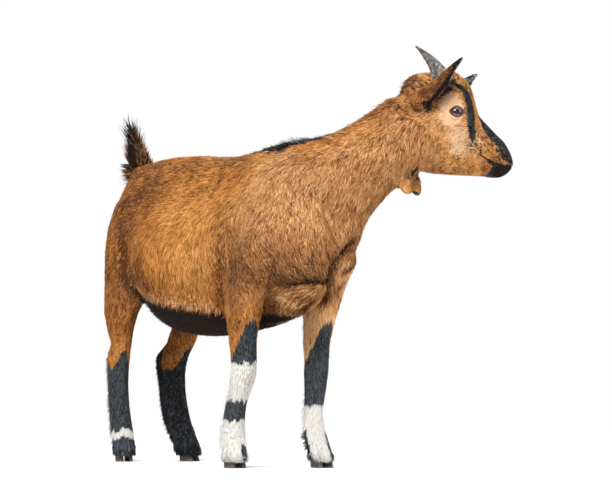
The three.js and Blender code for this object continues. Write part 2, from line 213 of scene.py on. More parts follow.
MOTTLE = Mottle(SEED)


@dataclass(frozen=True)
class HeadFrame:
    """The head's own frame: +X to the nose, +Y to its left, +Z up, and its origin between the eyes."""

    place: Spot = (340, 185, 501)
    turn: float = 43.0
    roll: float = -8.0

    @property
    def axes(self) -> Array:
        """The head's axes as columns."""
        turn = Matrix.Rotation(math.radians(self.turn), 3, "Z")
        return np.array(turn @ Matrix.Rotation(math.radians(self.roll), 3, "X"))

    def local(self, places: Array) -> Array:
        """Stance places in the head's frame."""
        return (places - np.array(self.place)) @ self.axes

    def stance(self, places: Array) -> Array:
        """Places in the head's frame as stance places."""
        return np.asarray(places, float) @ self.axes.T + np.array(self.place)

    def turned(self, vectors: Array) -> Array:
        """Directions in the head's frame as stance directions."""
        return np.asarray(vectors, float) @ self.axes.T


HEAD = HeadFrame()


# ---------- meshes ----------


class Sheet:
    """Blender meshes to and from arrays."""

    @staticmethod
    def read(items: Iterable, key: str, columns: int, kind: type = np.float32) -> Array:
        """One attribute of a mesh's items, a row for each."""
        found = np.empty(len(items) * columns, kind)
        items.foreach_get(key, found)
        return found.reshape(-1, columns)

    @staticmethod
    def points(mesh: bpy.types.Mesh) -> Array:
        """Every vertex, in stance millimetres."""
        return to_stance(Sheet.read(mesh.vertices, "co", 3).astype(float))

    @staticmethod
    def normals(mesh: bpy.types.Mesh) -> Array:
        """Every vertex's normal."""
        return Sheet.read(mesh.vertex_normals, "vector", 3).astype(float)

    @staticmethod
    def edges(mesh: bpy.types.Mesh) -> Array:
        """Every edge's two vertices."""
        return Sheet.read(mesh.edges, "vertices", 2, np.int32)

    @staticmethod
    def move(mesh: bpy.types.Mesh, places: Array) -> None:
        """Puts every vertex at its place, given in stance millimetres."""
        mesh.vertices.foreach_set("co", to_part(places).astype(np.float32).ravel())
        mesh.update()

    @staticmethod
    def paint(mesh: bpy.types.Mesh, name: str, values: Array) -> None:
        """Stores three numbers for each vertex as an attribute that materials read."""
        layer = mesh.attributes.new(name, "FLOAT_VECTOR", "POINT")
        layer.data.foreach_set("vector", values.astype(np.float32).ravel())

    @staticmethod
    def new(name: str, data: bpy.types.ID) -> bpy.types.Object:
        """A new object for a mesh, a light or a camera, linked to the scene."""
        piece = bpy.data.objects.new(name, data)
        bpy.context.scene.collection.objects.link(piece)
        return piece

    @staticmethod
    def write(name: str, places: Array, faces: Array) -> bpy.types.Object:
        """A new smooth object from stance places and triangles.

        Args:
            name: the piece's name.
            places: one row for each vertex, in stance millimetres.
            faces: one row of three vertices for each triangle.

        Returns:
            The object, linked to the scene.
        """
        mesh = bpy.data.meshes.new(name)
        mesh.vertices.add(len(places))
        mesh.vertices.foreach_set("co", to_part(places).astype(np.float32).ravel())
        mesh.loops.add(faces.size)
        mesh.loops.foreach_set("vertex_index", faces.astype(np.int32).ravel())
        mesh.polygons.add(len(faces))
        mesh.polygons.foreach_set("loop_start", np.arange(0, faces.size, 3, dtype=np.int32))
        mesh.polygons.foreach_set("use_smooth", np.full(len(faces), True))
        mesh.update(calc_edges=True)
        return Sheet.new(name, mesh)

    @staticmethod
    def select(piece: bpy.types.Object) -> None:
        """Makes the piece the one selected and active object."""
        bpy.ops.object.select_all(action="DESELECT")
        piece.select_set(True)
        bpy.context.view_layer.objects.active = piece

    @staticmethod
    def remesh(piece: bpy.types.Object, size: float) -> None:
        """Gives the piece one closed surface of even faces, of a size in mm."""
        Sheet.select(piece)
        piece.data.remesh_voxel_size = size / METRE
        bpy.ops.object.voxel_remesh()

    @staticmethod
    def relax(values: Array, edges: Array, steps: int, weight: Array | float = 1.0) -> Array:
        """Moves each value towards the mean of its neighbours.

        Args:
            values: one row for each vertex.
            edges: the mesh's edges.
            steps: how many times.
            weight: how far, from 0 to 1, for each vertex.

        Returns:
            The relaxed values.
        """
        count = len(values)
        ends = np.concatenate([edges[:, 0], edges[:, 1]])
        others = np.concatenate([edges[:, 1], edges[:, 0]])
        degree = np.maximum(np.bincount(ends, minlength=count), 1)
        flat = values.reshape(count, -1)
        share = np.broadcast_to(weight, count)
        for _ in range(steps):
            means = [np.bincount(ends, flat[others, k], count) / degree for k in range(flat.shape[1])]
            flat = flat + (np.stack(means, 1) - flat) * share[:, None]
        return flat.reshape(values.shape)

    @staticmethod
    def loft(name: str, rings: Array) -> bpy.types.Object:
        """A closed surface through rings of points, one row of rings after another.

        Args:
            name: the piece's name.
            rings: an array of rings, points and coordinates, in stance millimetres.

        Returns:
            The object, smooth and with its faces outwards.
        """
        count, sides = rings.shape[:2]
        ends = rings[[0, -1]].mean(1)
        pairs = [(k, (k + 1) % sides) for k in range(sides)]
        starts = [r * sides for r in range(count)]
        quads = [(r + a, r + b, r + sides + b, r + sides + a) for r in starts[:-1] for a, b in pairs]
        first = count * sides
        fans = [(first, b, a) for a, b in pairs]
        fans += [(first + 1, starts[-1] + a, starts[-1] + b) for a, b in pairs]
        mesh = bpy.data.meshes.new(name)
        mesh.from_pydata(to_part(np.concatenate([rings.reshape(-1, 3), ends])).tolist(), [], quads + fans)
        piece = Sheet.new(name, mesh)
        Sheet.select(piece)
        bpy.ops.object.mode_set(mode="EDIT")
        bpy.ops.mesh.select_all(action="SELECT")
        bpy.ops.mesh.normals_make_consistent(inside=False)
        bpy.ops.object.mode_set(mode="OBJECT")
        bpy.ops.object.shade_smooth()
        return piece


# ---------- materials ----------


Colour = tuple[float, float, float]


class Socket:
    """One output of a node, with Python's operators as Math nodes."""

    def __init__(self, finish: "Finish", source: bpy.types.NodeSocket) -> None:
        """Wraps an output of the finish's nodes."""
        self.finish = finish
        self.source = source

    def math(self, operation: str, *values: "Socket | float") -> "Socket":
        """A Math node on these values."""
        inputs = dict(enumerate(values or (self,)))
        return self.finish.node("ShaderNodeMath", {"operation": operation}, inputs)

    def __add__(self, other: "Socket | float") -> "Socket":
        """self + other."""
        return self.math("ADD", self, other)

    def __sub__(self, other: "Socket | float") -> "Socket":
        """self - other."""
        return self.math("SUBTRACT", self, other)

    def __rsub__(self, other: float) -> "Socket":
        """other - self."""
        return self.math("SUBTRACT", other, self)

    def __mul__(self, other: "Socket | float") -> "Socket":
        """self * other."""
        return self.math("MULTIPLY", self, other)

    __radd__ = __add__
    __rmul__ = __mul__

    def most(self, other: "Socket | float") -> "Socket":
        """The larger of the two."""
        return self.math("MAXIMUM", self, other)

    def step(self, low: float, high: float) -> "Socket":
        """A smooth step from 0 at low to 1 at high."""
        inputs = {"Value": self, "From Min": low, "From Max": high}
        return self.finish.node("ShaderNodeMapRange", {"interpolation_type": "SMOOTHSTEP"}, inputs)


class Finish:
    """A material whose shader is one Principled node."""

    def __init__(self, name: str, **constants: float | Colour) -> None:
        """Starts the material.

        Args:
            name: the material's name.
            constants: sockets of the shader that are the same all over, with _ for a space.
        """
        self.material = bpy.data.materials.new(name)
        self.material.use_nodes = True
        self.tree = self.material.node_tree
        self.shader = self.tree.nodes["Principled BSDF"]
        for key, value in constants.items():
            self.set(self.shader.inputs[key.replace("_", " ").title().replace("Ior", "IOR")], value)

    def set(self, socket: bpy.types.NodeSocket, value: "Socket | float | Colour") -> None:
        """Gives a socket its value, or a link."""
        if isinstance(value, Socket):
            self.tree.links.new(value.source, socket)
        else:
            socket.default_value = (*value, 1) if socket.type == "RGBA" else value

    def node(
        self, kind: str, settings: dict | None = None, inputs: dict | None = None, output: int | str = 0
    ) -> Socket:
        """Adds a node.

        Args:
            kind: the node's type.
            settings: its properties, set first.
            inputs: values or sockets, by the input's name or number.
            output: the output that is wanted.

        Returns:
            That output.
        """
        made = self.tree.nodes.new(kind)
        for key, value in (settings or {}).items():
            setattr(made, key, value)
        for key, value in (inputs or {}).items():
            self.set(made.inputs[key], value)
        return Socket(self, made.outputs[output])

    def colours(self, first: Socket | Colour, second: Socket | Colour, share: Socket | float) -> Socket:
        """A colour between two."""
        return self.node("ShaderNodeMix", {"data_type": "RGBA"}, {0: share, 6: first, 7: second}, 2)

    def place(self) -> Socket:
        """The object's own coordinates."""
        return self.node("ShaderNodeTexCoord", output="Object")

    def noise(self, scale: float, detail: float = 2.0) -> Socket:
        """Noise from 0 to 1, with scale in patches for each metre."""
        inputs = {"Vector": self.place(), "Scale": scale, "Detail": detail}
        return self.node("ShaderNodeTexNoise", None, inputs)

    def parts(self, name: str) -> tuple[Socket, Socket, Socket]:
        """The three numbers of a mesh attribute."""
        vector = self.node("ShaderNodeAttribute", {"attribute_name": name}, output="Vector")
        made = self.tree.nodes.new("ShaderNodeSeparateXYZ")
        self.set(made.inputs[0], vector)
        return tuple(Socket(self, output) for output in made.outputs)

    def wear(self, name: str, value: Socket) -> None:
        """Feeds a socket of the shader."""
        self.set(self.shader.inputs[name], value)

    def bump(self, height: Socket, depth: float, strength: float) -> None:
        """Raises the surface by a height map, with depth in metres."""
        inputs = {"Height": height, "Distance": depth, "Strength": strength}
        self.wear("Normal", self.node("ShaderNodeBump", None, inputs))


@dataclass(frozen=True)
class CoatFinish:
    """The one finish of skin and coat: its markings come from the attributes `marks` and `strand`."""

    tan: Colour = (0.48, 0.180, 0.036)
    tan_light: Colour = (0.82, 0.41, 0.115)
    tan_dark: Colour = (0.105, 0.034, 0.010)
    brown: Colour = (0.42, 0.185, 0.066)
    brown_light: Colour = (0.74, 0.43, 0.21)
    brown_dark: Colour = (0.085, 0.036, 0.017)
    pale: Colour = (0.92, 0.62, 0.38)
    pale_dim: Colour = (0.60, 0.31, 0.14)
    black: Colour = (0.0075, 0.0075, 0.0085)
    # The grey-blue of frosted black hair, with a painted sheen.
    black_light: Colour = (0.090, 0.104, 0.116)
    umber: Colour = (0.011, 0.006, 0.004)
    umber_light: Colour = (0.070, 0.040, 0.024)
    white: Colour = (0.765, 0.74, 0.69)
    white_dim: Colour = (0.52, 0.485, 0.43)
    bare: Colour = (0.030, 0.015, 0.011)
    bare_pink: Colour = (0.20, 0.12, 0.09)

    def build(self) -> bpy.types.Material:
        """Makes the material.

        Returns:
            The coat's material. `marks` holds the black share, the white share and the tone, from -1 for
            brown to 1 for pale, and `strand` a strand's own shade, its region's shade and the bare share.
        """
        finish = Finish("goat_coat", specular_ior_level=0.12, coat_roughness=0.35)
        black, white, tone = finish.parts("marks")
        own, region, bare = finish.parts("strand")
        fine = finish.noise(420.0, 3.0)
        shade = own * 0.82 + region * 0.75 + fine * 0.25 - 0.41
        pale, brown = tone.most(0.0), (0.0 - tone).most(0.0)
        dark = finish.colours(self.tan_dark, self.brown_dark, brown)
        middle = finish.colours(self.tan, self.brown, brown)
        light = finish.colours(self.tan_light, self.brown_light, brown)
        tan = finish.colours(dark, middle, shade.step(-0.05, 0.50))
        tan = finish.colours(tan, light, shade.step(0.50, 1.15))
        peach = finish.colours(self.pale_dim, self.pale, shade.step(0.0, 0.7))
        tan = finish.colours(tan, peach, (pale + (own - 0.5) * pale * (1.0 - pale) * 3.0).step(0.1, 0.9))
        ragged = (fine - 0.5) * 1.6 + (0.5 - own) * 1.5
        # Black hair runs from black to its frost and painted sheen as the shade rises.
        soot = finish.colours(self.black, self.black_light, shade.step(0.30, 1.3))
        sepia = finish.colours(self.umber, self.umber_light, shade.step(0.30, 1.3))
        soot = finish.colours(soot, sepia, brown.step(0.3, 0.9))
        snow = finish.colours(self.white_dim, self.white, shade.step(0.0, 0.6))
        coat = finish.colours(tan, soot, (black + ragged * black * (1.0 - black)).step(0.30, 0.70))
        coat = finish.colours(coat, snow, (white - ragged * white * (1.0 - white)).step(0.32, 0.68))
        skin = finish.colours(self.bare, self.bare_pink, pale * 0.8)
        finish.wear("Base Color", finish.colours(coat, skin, bare.step(0.3, 0.7)))
        finish.wear("Roughness", 0.66 - bare * 0.16 + fine * 0.12)
        finish.wear("Coat Weight", bare * 0.2)
        finish.bump(finish.noise(900.0, 2.0), 0.0005, 0.3)
        return finish.material


# ---------- the skin ----------


@dataclass
class Eye:
    """Where an eye sits in the head's frame, and the shape of its opening."""

    hand: int
    radius: float = 12.5
    place: Spot = (-3.0, 33.0, -3.5)
    gaze: Spot = (0.30, 0.95, 0.02)
    slant: float = 1.0  # degrees that the front corner lies below the back one
    half_width: float = 10.2
    upper: float = 7.6
    lower: float = 7.2
    lid: float = 1.3  # the lid's thickness

    @property
    def centre(self) -> Array:
        """The eyeball's centre in the head's frame."""
        return np.array([self.place[0], self.hand * self.place[1], self.place[2]])

    @property
    def axes(self) -> tuple[Array, Array, Array]:
        """Outwards, towards the front corner and up across the lids, in the head's frame."""
        out = unit(np.array([self.gaze[0], self.hand * self.gaze[1], self.gaze[2]]))
        down = math.radians(self.slant)
        fore = np.array([math.cos(down), 0, -math.sin(down)])
        fore = unit(fore - out * (fore @ out))
        return out, fore, np.cross(out, fore) * -self.hand

    def polar(self, local: Array) -> tuple[Array, Array, Array]:
        """How far points lie from the eye's centre, and across the opening.

        Args:
            local: points in the head's frame.

        Returns:
            The distance from the centre, the distance outside the lids' edge along the ball (less than 0
            inside the opening), and the height across the lids.
        """
        out, fore, up = self.axes
        from_centre = local - self.centre
        forward = from_centre @ out
        along = np.arctan2(from_centre @ fore, forward) * self.radius
        across = np.arctan2(from_centre @ up, forward) * self.radius
        limit = np.where(across > 0, self.upper, self.lower)
        size = ((np.abs(along) / self.half_width) ** 2 + (np.abs(across) / limit) ** 2) ** 0.5
        return np.linalg.norm(from_centre, axis=1), (size - 1) * (self.upper + self.half_width) / 2, across

    def shape_lids(self, local: Array, head: Array) -> Array:
        """Draws the skin round the eye into two lids.

        Args:
            local: points in the head's frame.
            head: which of them are the head's.

        Returns:
            The points with the lids shaped, and with the opening sunk behind the ball.
        """
        distance, outside, height = self.polar(local)
        here = head & (local[:, 1] * self.hand > 18) & (outside < 14) & (distance > 6)
        rim = self.radius + self.lid
        lid = rim + 0.12 * np.clip(outside, 0, 3)
        lid = lid + 0.55 * bell(outside - 1.2, 0.9) * rise(height, -4, 4)
        lid = lid - 0.9 * bell(outside - 3.8, 0.8) * rise(height, 0, 5)
        target = mix(lid, distance, rise(outside, 1.6, 6.5))
        target = np.where(outside < 0, mix(rim, self.radius - 2.6, rise(outside, -0.15, -0.75)), target)
        scale = np.where(here, target / np.maximum(distance, 1e-6), 1)
        return self.centre + (local - self.centre) * scale[:, None]


EYES = {name: Eye(hand) for name, hand in HANDS.items()}
ACROSS = np.array([1, 0.35, 1])  # how much depth into the head counts beside length and height


def line_of(*spots: Spot) -> Array:
    """A line through spots."""
    return np.array(spots, float)


# Lines on the left half of the head, in its own frame.
MOUTH = line_of(
    (33, 23.8, -61.2), (37, 21.8, -64.4), (43.8, 19.7, -68.3), (50.7, 18.2, -71.6), (57.5, 16.3, -73.7),
    (64.2, 13.4, -75.4), (70.6, 9.1, -74.6), (74, 1.7, -73.5), (75, 0, -73.5),
)
NOSTRIL = line_of((61.5, 15.5, -55), (63.5, 17.5, -59.5), (66.5, 16.5, -62.5), (69.5, 12.5, -61))
TEAR = line_of((11, 36, 2), (15, 32, -5), (14, 37, -12))
# The dark strip between the ear's rim and the eye: dark hair, with painted shadow of the ear.
BROW_AND_EAR_SHADOW = line_of((-13, 31, 32), (-20, 37, 27), (-27, 40, 15), (-31, 40, 6))
# The near ear, in the same frame.
EAR_ROOT, EAR_TIP = np.array([-57, 36, 3.0]), np.array([10, 66, 70.5])
EAR_MOUTH = np.array([0.66, -0.42, -0.62])
EAR_RIM = line_of(  # the lower edge, from the tip to the notch at the root
    (8, 67, 67), (0, 67, 54), (-8, 67, 41), (-16.5, 64.7, 29.4), (-27.4, 61, 17.4), (-36, 56, 9),
    (-41, 52, 5),
)


def away_across(places: Array, line: Array) -> Array:
    """The distance from a line on both sides of the head, in which depth into the head counts little."""
    return away(to_left(HEAD.local(places)) * ACROSS, line * ACROSS)


def lips_at(x: Array) -> Array:
    """The height at which the lips meet."""
    return np.interp(x, MOUTH[:, 0], MOUTH[:, 2])


def ear_frame(name: str, places: Array) -> tuple[Array, Array, Array]:
    """Places on an ear: the share of its length, how far they are towards the lower edge as a share of its
    half width, and the inner side's direction.

    Args:
        name: the ear's node.
        places: points, in stance mm.

    Returns:
        The share, the part of the half width, and one direction in the stance frame.
    """
    mirror = [1, side_of(name), 1]
    local = HEAD.local(places) * mirror - EAR_ROOT
    reach = np.linalg.norm(EAR_TIP - EAR_ROOT)
    axis = (EAR_TIP - EAR_ROOT) / reach
    share = np.clip(local @ axis / reach, 0, 1)
    mouth = unit(EAR_MOUTH - axis * (EAR_MOUTH @ axis))
    half = 19 * (0.62 + 1.9 * share) * (1 - share**1.3) + 1.5
    return share, (local @ np.cross(axis, mouth)) / half, HEAD.turned(mouth * mirror)


def ear_way(name: str) -> Array:
    """The direction from an ear's root to its tip."""
    return HEAD.turned((EAR_TIP - EAR_ROOT) / np.linalg.norm(EAR_TIP - EAR_ROOT) * [1, side_of(name), 1])


@dataclass(frozen=True)
class Stroke:
    """A ridge, or a groove, along a line on each side of the head."""

    line: Array
    height: float  # less than 0 for a groove
    width: float
    beside: float = 0.0  # how far from the line it runs
    fades: tuple[Fade, ...] = ()  # where it starts: along x, along z, or above the lips


STROKES = {
    "parting of the lips": Stroke(MOUTH, -1.9, 0.95),
    "upper lip": Stroke(MOUTH, 0.8, 1.7, 2.9, (("above", -1, 1), ("x", 36, 50))),
    "lower lip": Stroke(MOUTH, 0.5, 1.6, 2.6, (("above", 1, -1), ("x", 44, 56))),
    "nostril": Stroke(NOSTRIL, -3.4, 1.5),
    "nostril's rim": Stroke(NOSTRIL, 1.0, 1.4, 3.2, (("z", -63, -59),)),
    "nostril's wing": Stroke(line_of((63, 12, -50.5), (67, 9.5, -52), (69, 7, -56)), 0.9, 2.4),
    "corner of the mouth": Stroke(line_of((33, 23.8, -61.2), (29.5, 24, -60), (27.5, 24, -61.5)), -0.8, 1.3),
    "fold over the lip": Stroke(line_of((36, 21, -56.5), (44, 18, -60.5), (52, 17, -64)), -0.45, 1.6),
    "brow": Stroke(line_of((9, 37, 9), (0, 40, 14), (-12, 40, 12)), 1.2, 4.0),
    "fold under the eye": Stroke(line_of((10, 38, -13), (0, 42, -16), (-12, 43, -12)), -0.5, 1.6),
    "cheekbone": Stroke(line_of((14, 37, -27), (24, 31, -42), (32, 26, -50)), 0.7, 6),
    "hollow before the eye": Stroke(line_of((14, 34, -5), (19, 28, -13), (23, 26, -24)), -0.9, 3.5),
    "tear groove": Stroke(line_of((10, 37, -3), (15, 33, -9)), -0.6, 1.4),
}


@dataclass
class Skin:
    """The one skin that stands for all the nodes of flesh."""

    voxel: float = 1.8
    swell: float = 0.5  # how far the solids grow before they are joined
    faces: int = 150_000
    softness: dict[str, float] = field(  # how far each kind of node is smoothed, with 0.35 for the rest
        default_factory=lambda: {"trunk": 1.0, "neck": 1.0, "head": 0.18, "ear": 0.06, "wattle": 0.06}
    )
    depths: dict[str, float] = field(  # the coat's depth, with 5 mm for the rest
        default_factory=lambda: {"ear": 0.9, "wattle": -0.6, "tail": 4.0}
    )
    adjusted: tuple[tuple[Spot, float, float], ...] = (  # place, reach and how much deeper
        ((266, 98, 519), 34, 2.6), ((238, 66, 487), 30, -2.0), ((288, 148, 558), 34, -2.6),
        ((80, 0, 190), 90, -1.8), ((196, -4, 218), 34, 3.2),
    )
    piece: bpy.types.Object = field(init=False)
    region: Array = field(init=False)

    @staticmethod
    def copied(names: Iterable[str], swell: float) -> bpy.types.Object:
        """One object from merged copies of CAD nodes, each swollen a little so that neighbours run together.

        Args:
            names: the nodes.
            swell: how far each surface moves outwards, in mm.

        Returns:
            The joined copy.
        """
        joined = bmesh.new()
        for name in names:
            part = bmesh.new()
            part.from_mesh(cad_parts[name].data)
            bmesh.ops.remove_doubles(part, verts=part.verts, dist=MERGE)
            part.normal_update()
            for vertex, normal in [(v, v.normal.copy()) for v in part.verts]:
                vertex.co += normal * swell / METRE
            mesh = bpy.data.meshes.new(name)
            part.to_mesh(mesh)
            joined.from_mesh(mesh)
            part.free()
        mesh = bpy.data.meshes.new("goat_skin")
        joined.to_mesh(mesh)
        joined.free()
        return Sheet.new("goat_skin", mesh)

    @staticmethod
    def regions(places: Array) -> Array:
        """The number in FLESH of the node nearest to each place."""
        corners, faces, owner = [], [], []
        for number, name in enumerate(FLESH):
            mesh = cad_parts[name].data
            start = len(corners)
            corners += [v.co.copy() for v in mesh.vertices]
            faces += [[start + i for i in p.vertices] for p in mesh.polygons]
            owner += [number] * len(mesh.polygons)
        tree = BVHTree.FromPolygons(corners, faces)
        return np.array([owner[tree.find_nearest(Vector(p))[2]] for p in to_part(places)])

    def is_in(self, *names: str) -> Array:
        """Whether each vertex belongs to one of these nodes."""
        return np.isin(self.region, [FLESH.index(name) for name in names])

    def by_kind(self, values: dict[str, float], rest: float) -> Array:
        """A number for each vertex, by the kind of its node."""
        return np.array([values.get(name.split("_")[0], rest) for name in FLESH])[self.region]

    def build(self, dress: bpy.types.Material) -> bpy.types.Object:
        """Makes the skin.

        Args:
            dress: its material.

        Returns:
            The skin's object.
        """
        self.piece = self.copied(FLESH + tuple(f"eye_{name}" for name in HANDS), self.swell)
        Sheet.remesh(self.piece, self.voxel)
        self.soften()
        self.thin_out()
        self.sink()
        self.refine()
        self.sculpt_head()
        self.sculpt_body()
        bpy.ops.object.shade_smooth()
        self.unwrap()
        self.piece.data.materials.clear()
        self.piece.data.materials.append(dress)
        return self.piece

    def soften(self) -> None:
        """Takes the facets out of the broad forms and keeps the thin ones."""
        mesh = self.piece.data
        places = Sheet.points(mesh)
        self.region = self.regions(places)
        edges = Sheet.edges(mesh)
        weight = Sheet.relax(self.by_kind(self.softness, 0.35), edges, 6)
        smooth = Sheet.relax(places, edges, 42, weight)
        for _ in range(2):  # gives back what the relaxing took off the broad forms
            Sheet.move(mesh, smooth)
            normals = Sheet.normals(mesh)
            lost = dots(places - smooth, normals)
            smooth = smooth + normals * Sheet.relax(lost, edges, 26)[:, None]
        Sheet.move(mesh, smooth)

    def thin_out(self) -> None:
        """Spares faces on the body, where the coat hides them."""
        group = self.piece.vertex_groups.new(name="coarse")
        group.add(np.flatnonzero(~self.is_in("head", *EARS, *WATTLES)).tolist(), 1.0, "REPLACE")
        thinner = self.piece.modifiers.new("thinner", "DECIMATE")
        thinner.vertex_group = group.name
        thinner.ratio = self.faces / (2 * len(self.piece.data.polygons))
        bpy.ops.object.modifier_apply(modifier=thinner.name)
        triangles = self.piece.modifiers.new("triangles", "TRIANGULATE")
        bpy.ops.object.modifier_apply(modifier=triangles.name)
        self.piece.vertex_groups.clear()

    def depth(self, places: Array) -> Array:
        """The coat's depth at each place: deepest on the trunk, and least on the muzzle and ears."""
        depth = self.by_kind(self.depths, 5.0)
        height = places[:, 2]
        leg = self.is_in(*(f"leg_{name}" for name in LEGS))
        depth[leg] = mix(3.2, 5.0, rise(height[leg], 200, 290))
        head = self.is_in("head")
        local = HEAD.local(places)
        depth[head] = mix(3.4, 1.2, rise(local[head, 0], -45, 15))
        rump = ~head & (places[:, 0] < -140) & (height > 180) & (height < 440)
        depth[rump] -= 3.6 * rise(places[rump, 0], -140, -175)
        depth[self.is_in("leg_hind_right") & (height > 200)] -= 2.0
        throat = rise(away(places, THROAT), 34, 8) * rise(height, 330, 345)
        depth += 2.6 * throat * self.is_in("neck")
        depth[head] -= 1.0 * rise(local[head, 2], -64, -74)
        for place, reach, deeper in self.adjusted:
            depth += deeper * rise(from_spot(places, place), reach, 0.3 * reach)
        depth[self.is_in("leg_front_left") & (height > 150) & (height < 310)] -= 1.6
        return depth

    def sink(self) -> None:
        """Moves the skin inside the solids by the coat's depth."""
        mesh = self.piece.data
        places = Sheet.points(mesh)
        self.region = self.regions(places)
        edges = Sheet.edges(mesh)
        depth = Sheet.relax(self.depth(places), edges, 12)
        normals = unit(Sheet.relax(Sheet.normals(mesh), edges, 3))
        moved = self.slim_tail(places - normals * depth[:, None], edges)
        longer = 4.5 * rise(ear_frame("ear_left", moved)[0], 0.5, 1.0) * self.is_in("ear_left")
        moved += longer[:, None] * ear_way("ear_left")
        Sheet.move(mesh, Sheet.relax(moved, edges, 2, 0.4))

    def slim_tail(self, places: Array, edges: Array) -> Array:
        """Draws the tail's skin in towards its bone, as most of the tail is hair, and shortens it."""
        tail = self.is_in("tail")
        up = np.clip((places[:, 2] - 424) / (513 - 424), 0, 1)
        bone = np.stack([mix(-184, -217, up), np.zeros(len(up)), places[:, 2]], 1)
        slim = np.where(tail, rise(places[:, 2], 440, 466) * 0.68, 0)
        moved = mix(places, bone, Sheet.relax(slim, edges, 6)[:, None])
        moved[:, 2] -= np.where(tail, np.maximum(moved[:, 2] - 480, 0) * 0.6, 0)
        return moved

    def refine(self) -> None:
        """Adds faces at the eyes, the nostrils and the mouth, in two rounds."""
        mesh = self.piece.data
        for reach in (15.0, 13.0):
            local = HEAD.local(Sheet.points(mesh))
            near = np.zeros(len(local), bool)
            for eye in EYES.values():
                distance, outside, _ = eye.polar(local)
                near |= (outside < reach * 0.5) & (distance > 8) & (distance < 20)
            near |= away(to_left(local), MOUTH) < reach * 0.35
            near |= away(to_left(local), NOSTRIL) < reach * 0.4
            work = bmesh.new()
            work.from_mesh(mesh)
            work.verts.ensure_lookup_table()
            edges = [e for e in work.edges if near[e.verts[0].index] and near[e.verts[1].index]]
            bmesh.ops.subdivide_edges(work, edges=edges, cuts=1, use_grid_fill=True, smooth=0)
            bmesh.ops.triangulate(work, faces=[f for f in work.faces if len(f.verts) > 3])
            work.to_mesh(mesh)
            work.free()
        self.region = self.regions(Sheet.points(mesh))

    def sculpt_head(self) -> None:
        """Shapes lids, nostrils, lips, brow and cheeks."""
        mesh = self.piece.data
        places = Sheet.points(mesh)
        head = self.is_in("head")
        x, y, z = to_left(HEAD.local(places)).T
        along = {"x": x, "z": z, "above": z - lips_at(x)}
        out = -0.9 * bell(y, 0.9) * rise(x, 64, 70) * rise(along["above"], 0, 3)  # the cleft of the upper lip
        for stroke in STROKES.values():
            shape = stroke.height * bell(away_across(places, stroke.line) - stroke.beside, stroke.width)
            out += shape * faded(stroke.fades, along)
        local = HEAD.local(places + Sheet.normals(mesh) * (out * head)[:, None])
        for eye in EYES.values():
            local = eye.shape_lids(local, head)
        Sheet.move(mesh, HEAD.stance(local))

    def sculpt_body(self) -> None:
        """Presses the body's creases into the skin, and raises the roll of the chest."""
        mesh = self.piece.data
        places = Sheet.points(mesh)
        normals = unit(Sheet.relax(Sheet.normals(mesh), Sheet.edges(mesh), 4))
        out = 6.0 * bell(away(places, CHEST_ROLL), 18)
        for crease in CREASES:
            beside = crease.away(places)
            out -= crease.depth * np.exp(-(beside**2)) - 0.28 * crease.depth * bell(beside - 2.5, 1.2)
        Sheet.move(mesh, places + normals * out[:, None])

    def unwrap(self) -> None:
        """Lays the skin's own shape out flat, as the map that the tufts' places are taken from."""
        Sheet.select(self.piece)
        for layer in list(self.piece.data.uv_layers):
            self.piece.data.uv_layers.remove(layer)
        self.piece.data.uv_layers.new(name="OFBake")
        bpy.ops.object.mode_set(mode="EDIT")
        bpy.ops.mesh.select_all(action="SELECT")
        bpy.ops.uv.smart_project(angle_limit=1.15, island_margin=0.002, scale_to_bounds=True)
        bpy.ops.object.mode_set(mode="OBJECT")


@dataclass(frozen=True)
class Crease:
    """A fold of the body's skin along a line, with painted shade darkening the hair in it."""

    line: Array
    depth: float
    width: float
    dark: float  # how much painted shade darkens the hair in the fold

    def away(self, places: Array) -> Array:
        """The distance from the fold's bottom, in its own widths."""
        return away(places, self.line) / self.width


FLANK_FOLD = Crease(line_of(  # between flank and thigh
    (-140, -62, 385), (-132, -69, 357), (-122, -75, 318), (-120, -73, 288), (-119, -71, 266),
    (-111, -61, 252),
), 7, 4.2, 0.62)
ELBOW_FOLD = Crease(line_of(  # behind the elbow
    (121, -80, 308), (120, -79, 305), (114, -74, 286), (99, -61, 257), (84, -46, 230),
), 8, 5.2, 0.56)
CHEST_FOLD = Crease(line_of(  # from the throat past the chest to the left elbow
    (254, 57, 323), (250, 42, 309), (254, 19, 293), (251, 14, 275), (236, 21, 262), (215, 33, 254),
    (194, 47, 248),
), 8, 5, 0.78)
BRISKET_FOLD = Crease(line_of(  # over the brisket
    (221, -32, 260), (232, -24, 264), (244, -18, 266), (251, -4, 266), (247, 10, 264),
), 6, 4.5, 0.8)
FORELEG_FOLD = Crease(line_of(  # between brisket and left foreleg
    (236, 21, 262), (238, 9, 250), (234, 0, 239), (221, 0, 228), (206, 4, 221),
), 5, 4.6, 1.0)
CREASES = (FLANK_FOLD, ELBOW_FOLD, CHEST_FOLD, BRISKET_FOLD, FORELEG_FOLD)
CHEST_ROLL = line_of((262, 50, 308), (264, 38, 284))


def creased(places: Array, reach: float) -> Array:
    """How near each place lies to the bottom of a fold, from 0 to 1, with reach in the fold's own widths."""
    return np.max([bell(crease.away(places), reach) for crease in CREASES], axis=0)


# ---------- the coat's lie ----------

KINDS = tuple(name.split("_")[0] for name in FLESH)
UNDER_BRISKET = line_of((134, -14, 208), (163, -16, 216), (178, -5, 213), (190, -3, 216))
BRISKET_WAY = (-0.75, -0.62, -0.45)  # the way the hair lies on top of the roll of the brisket


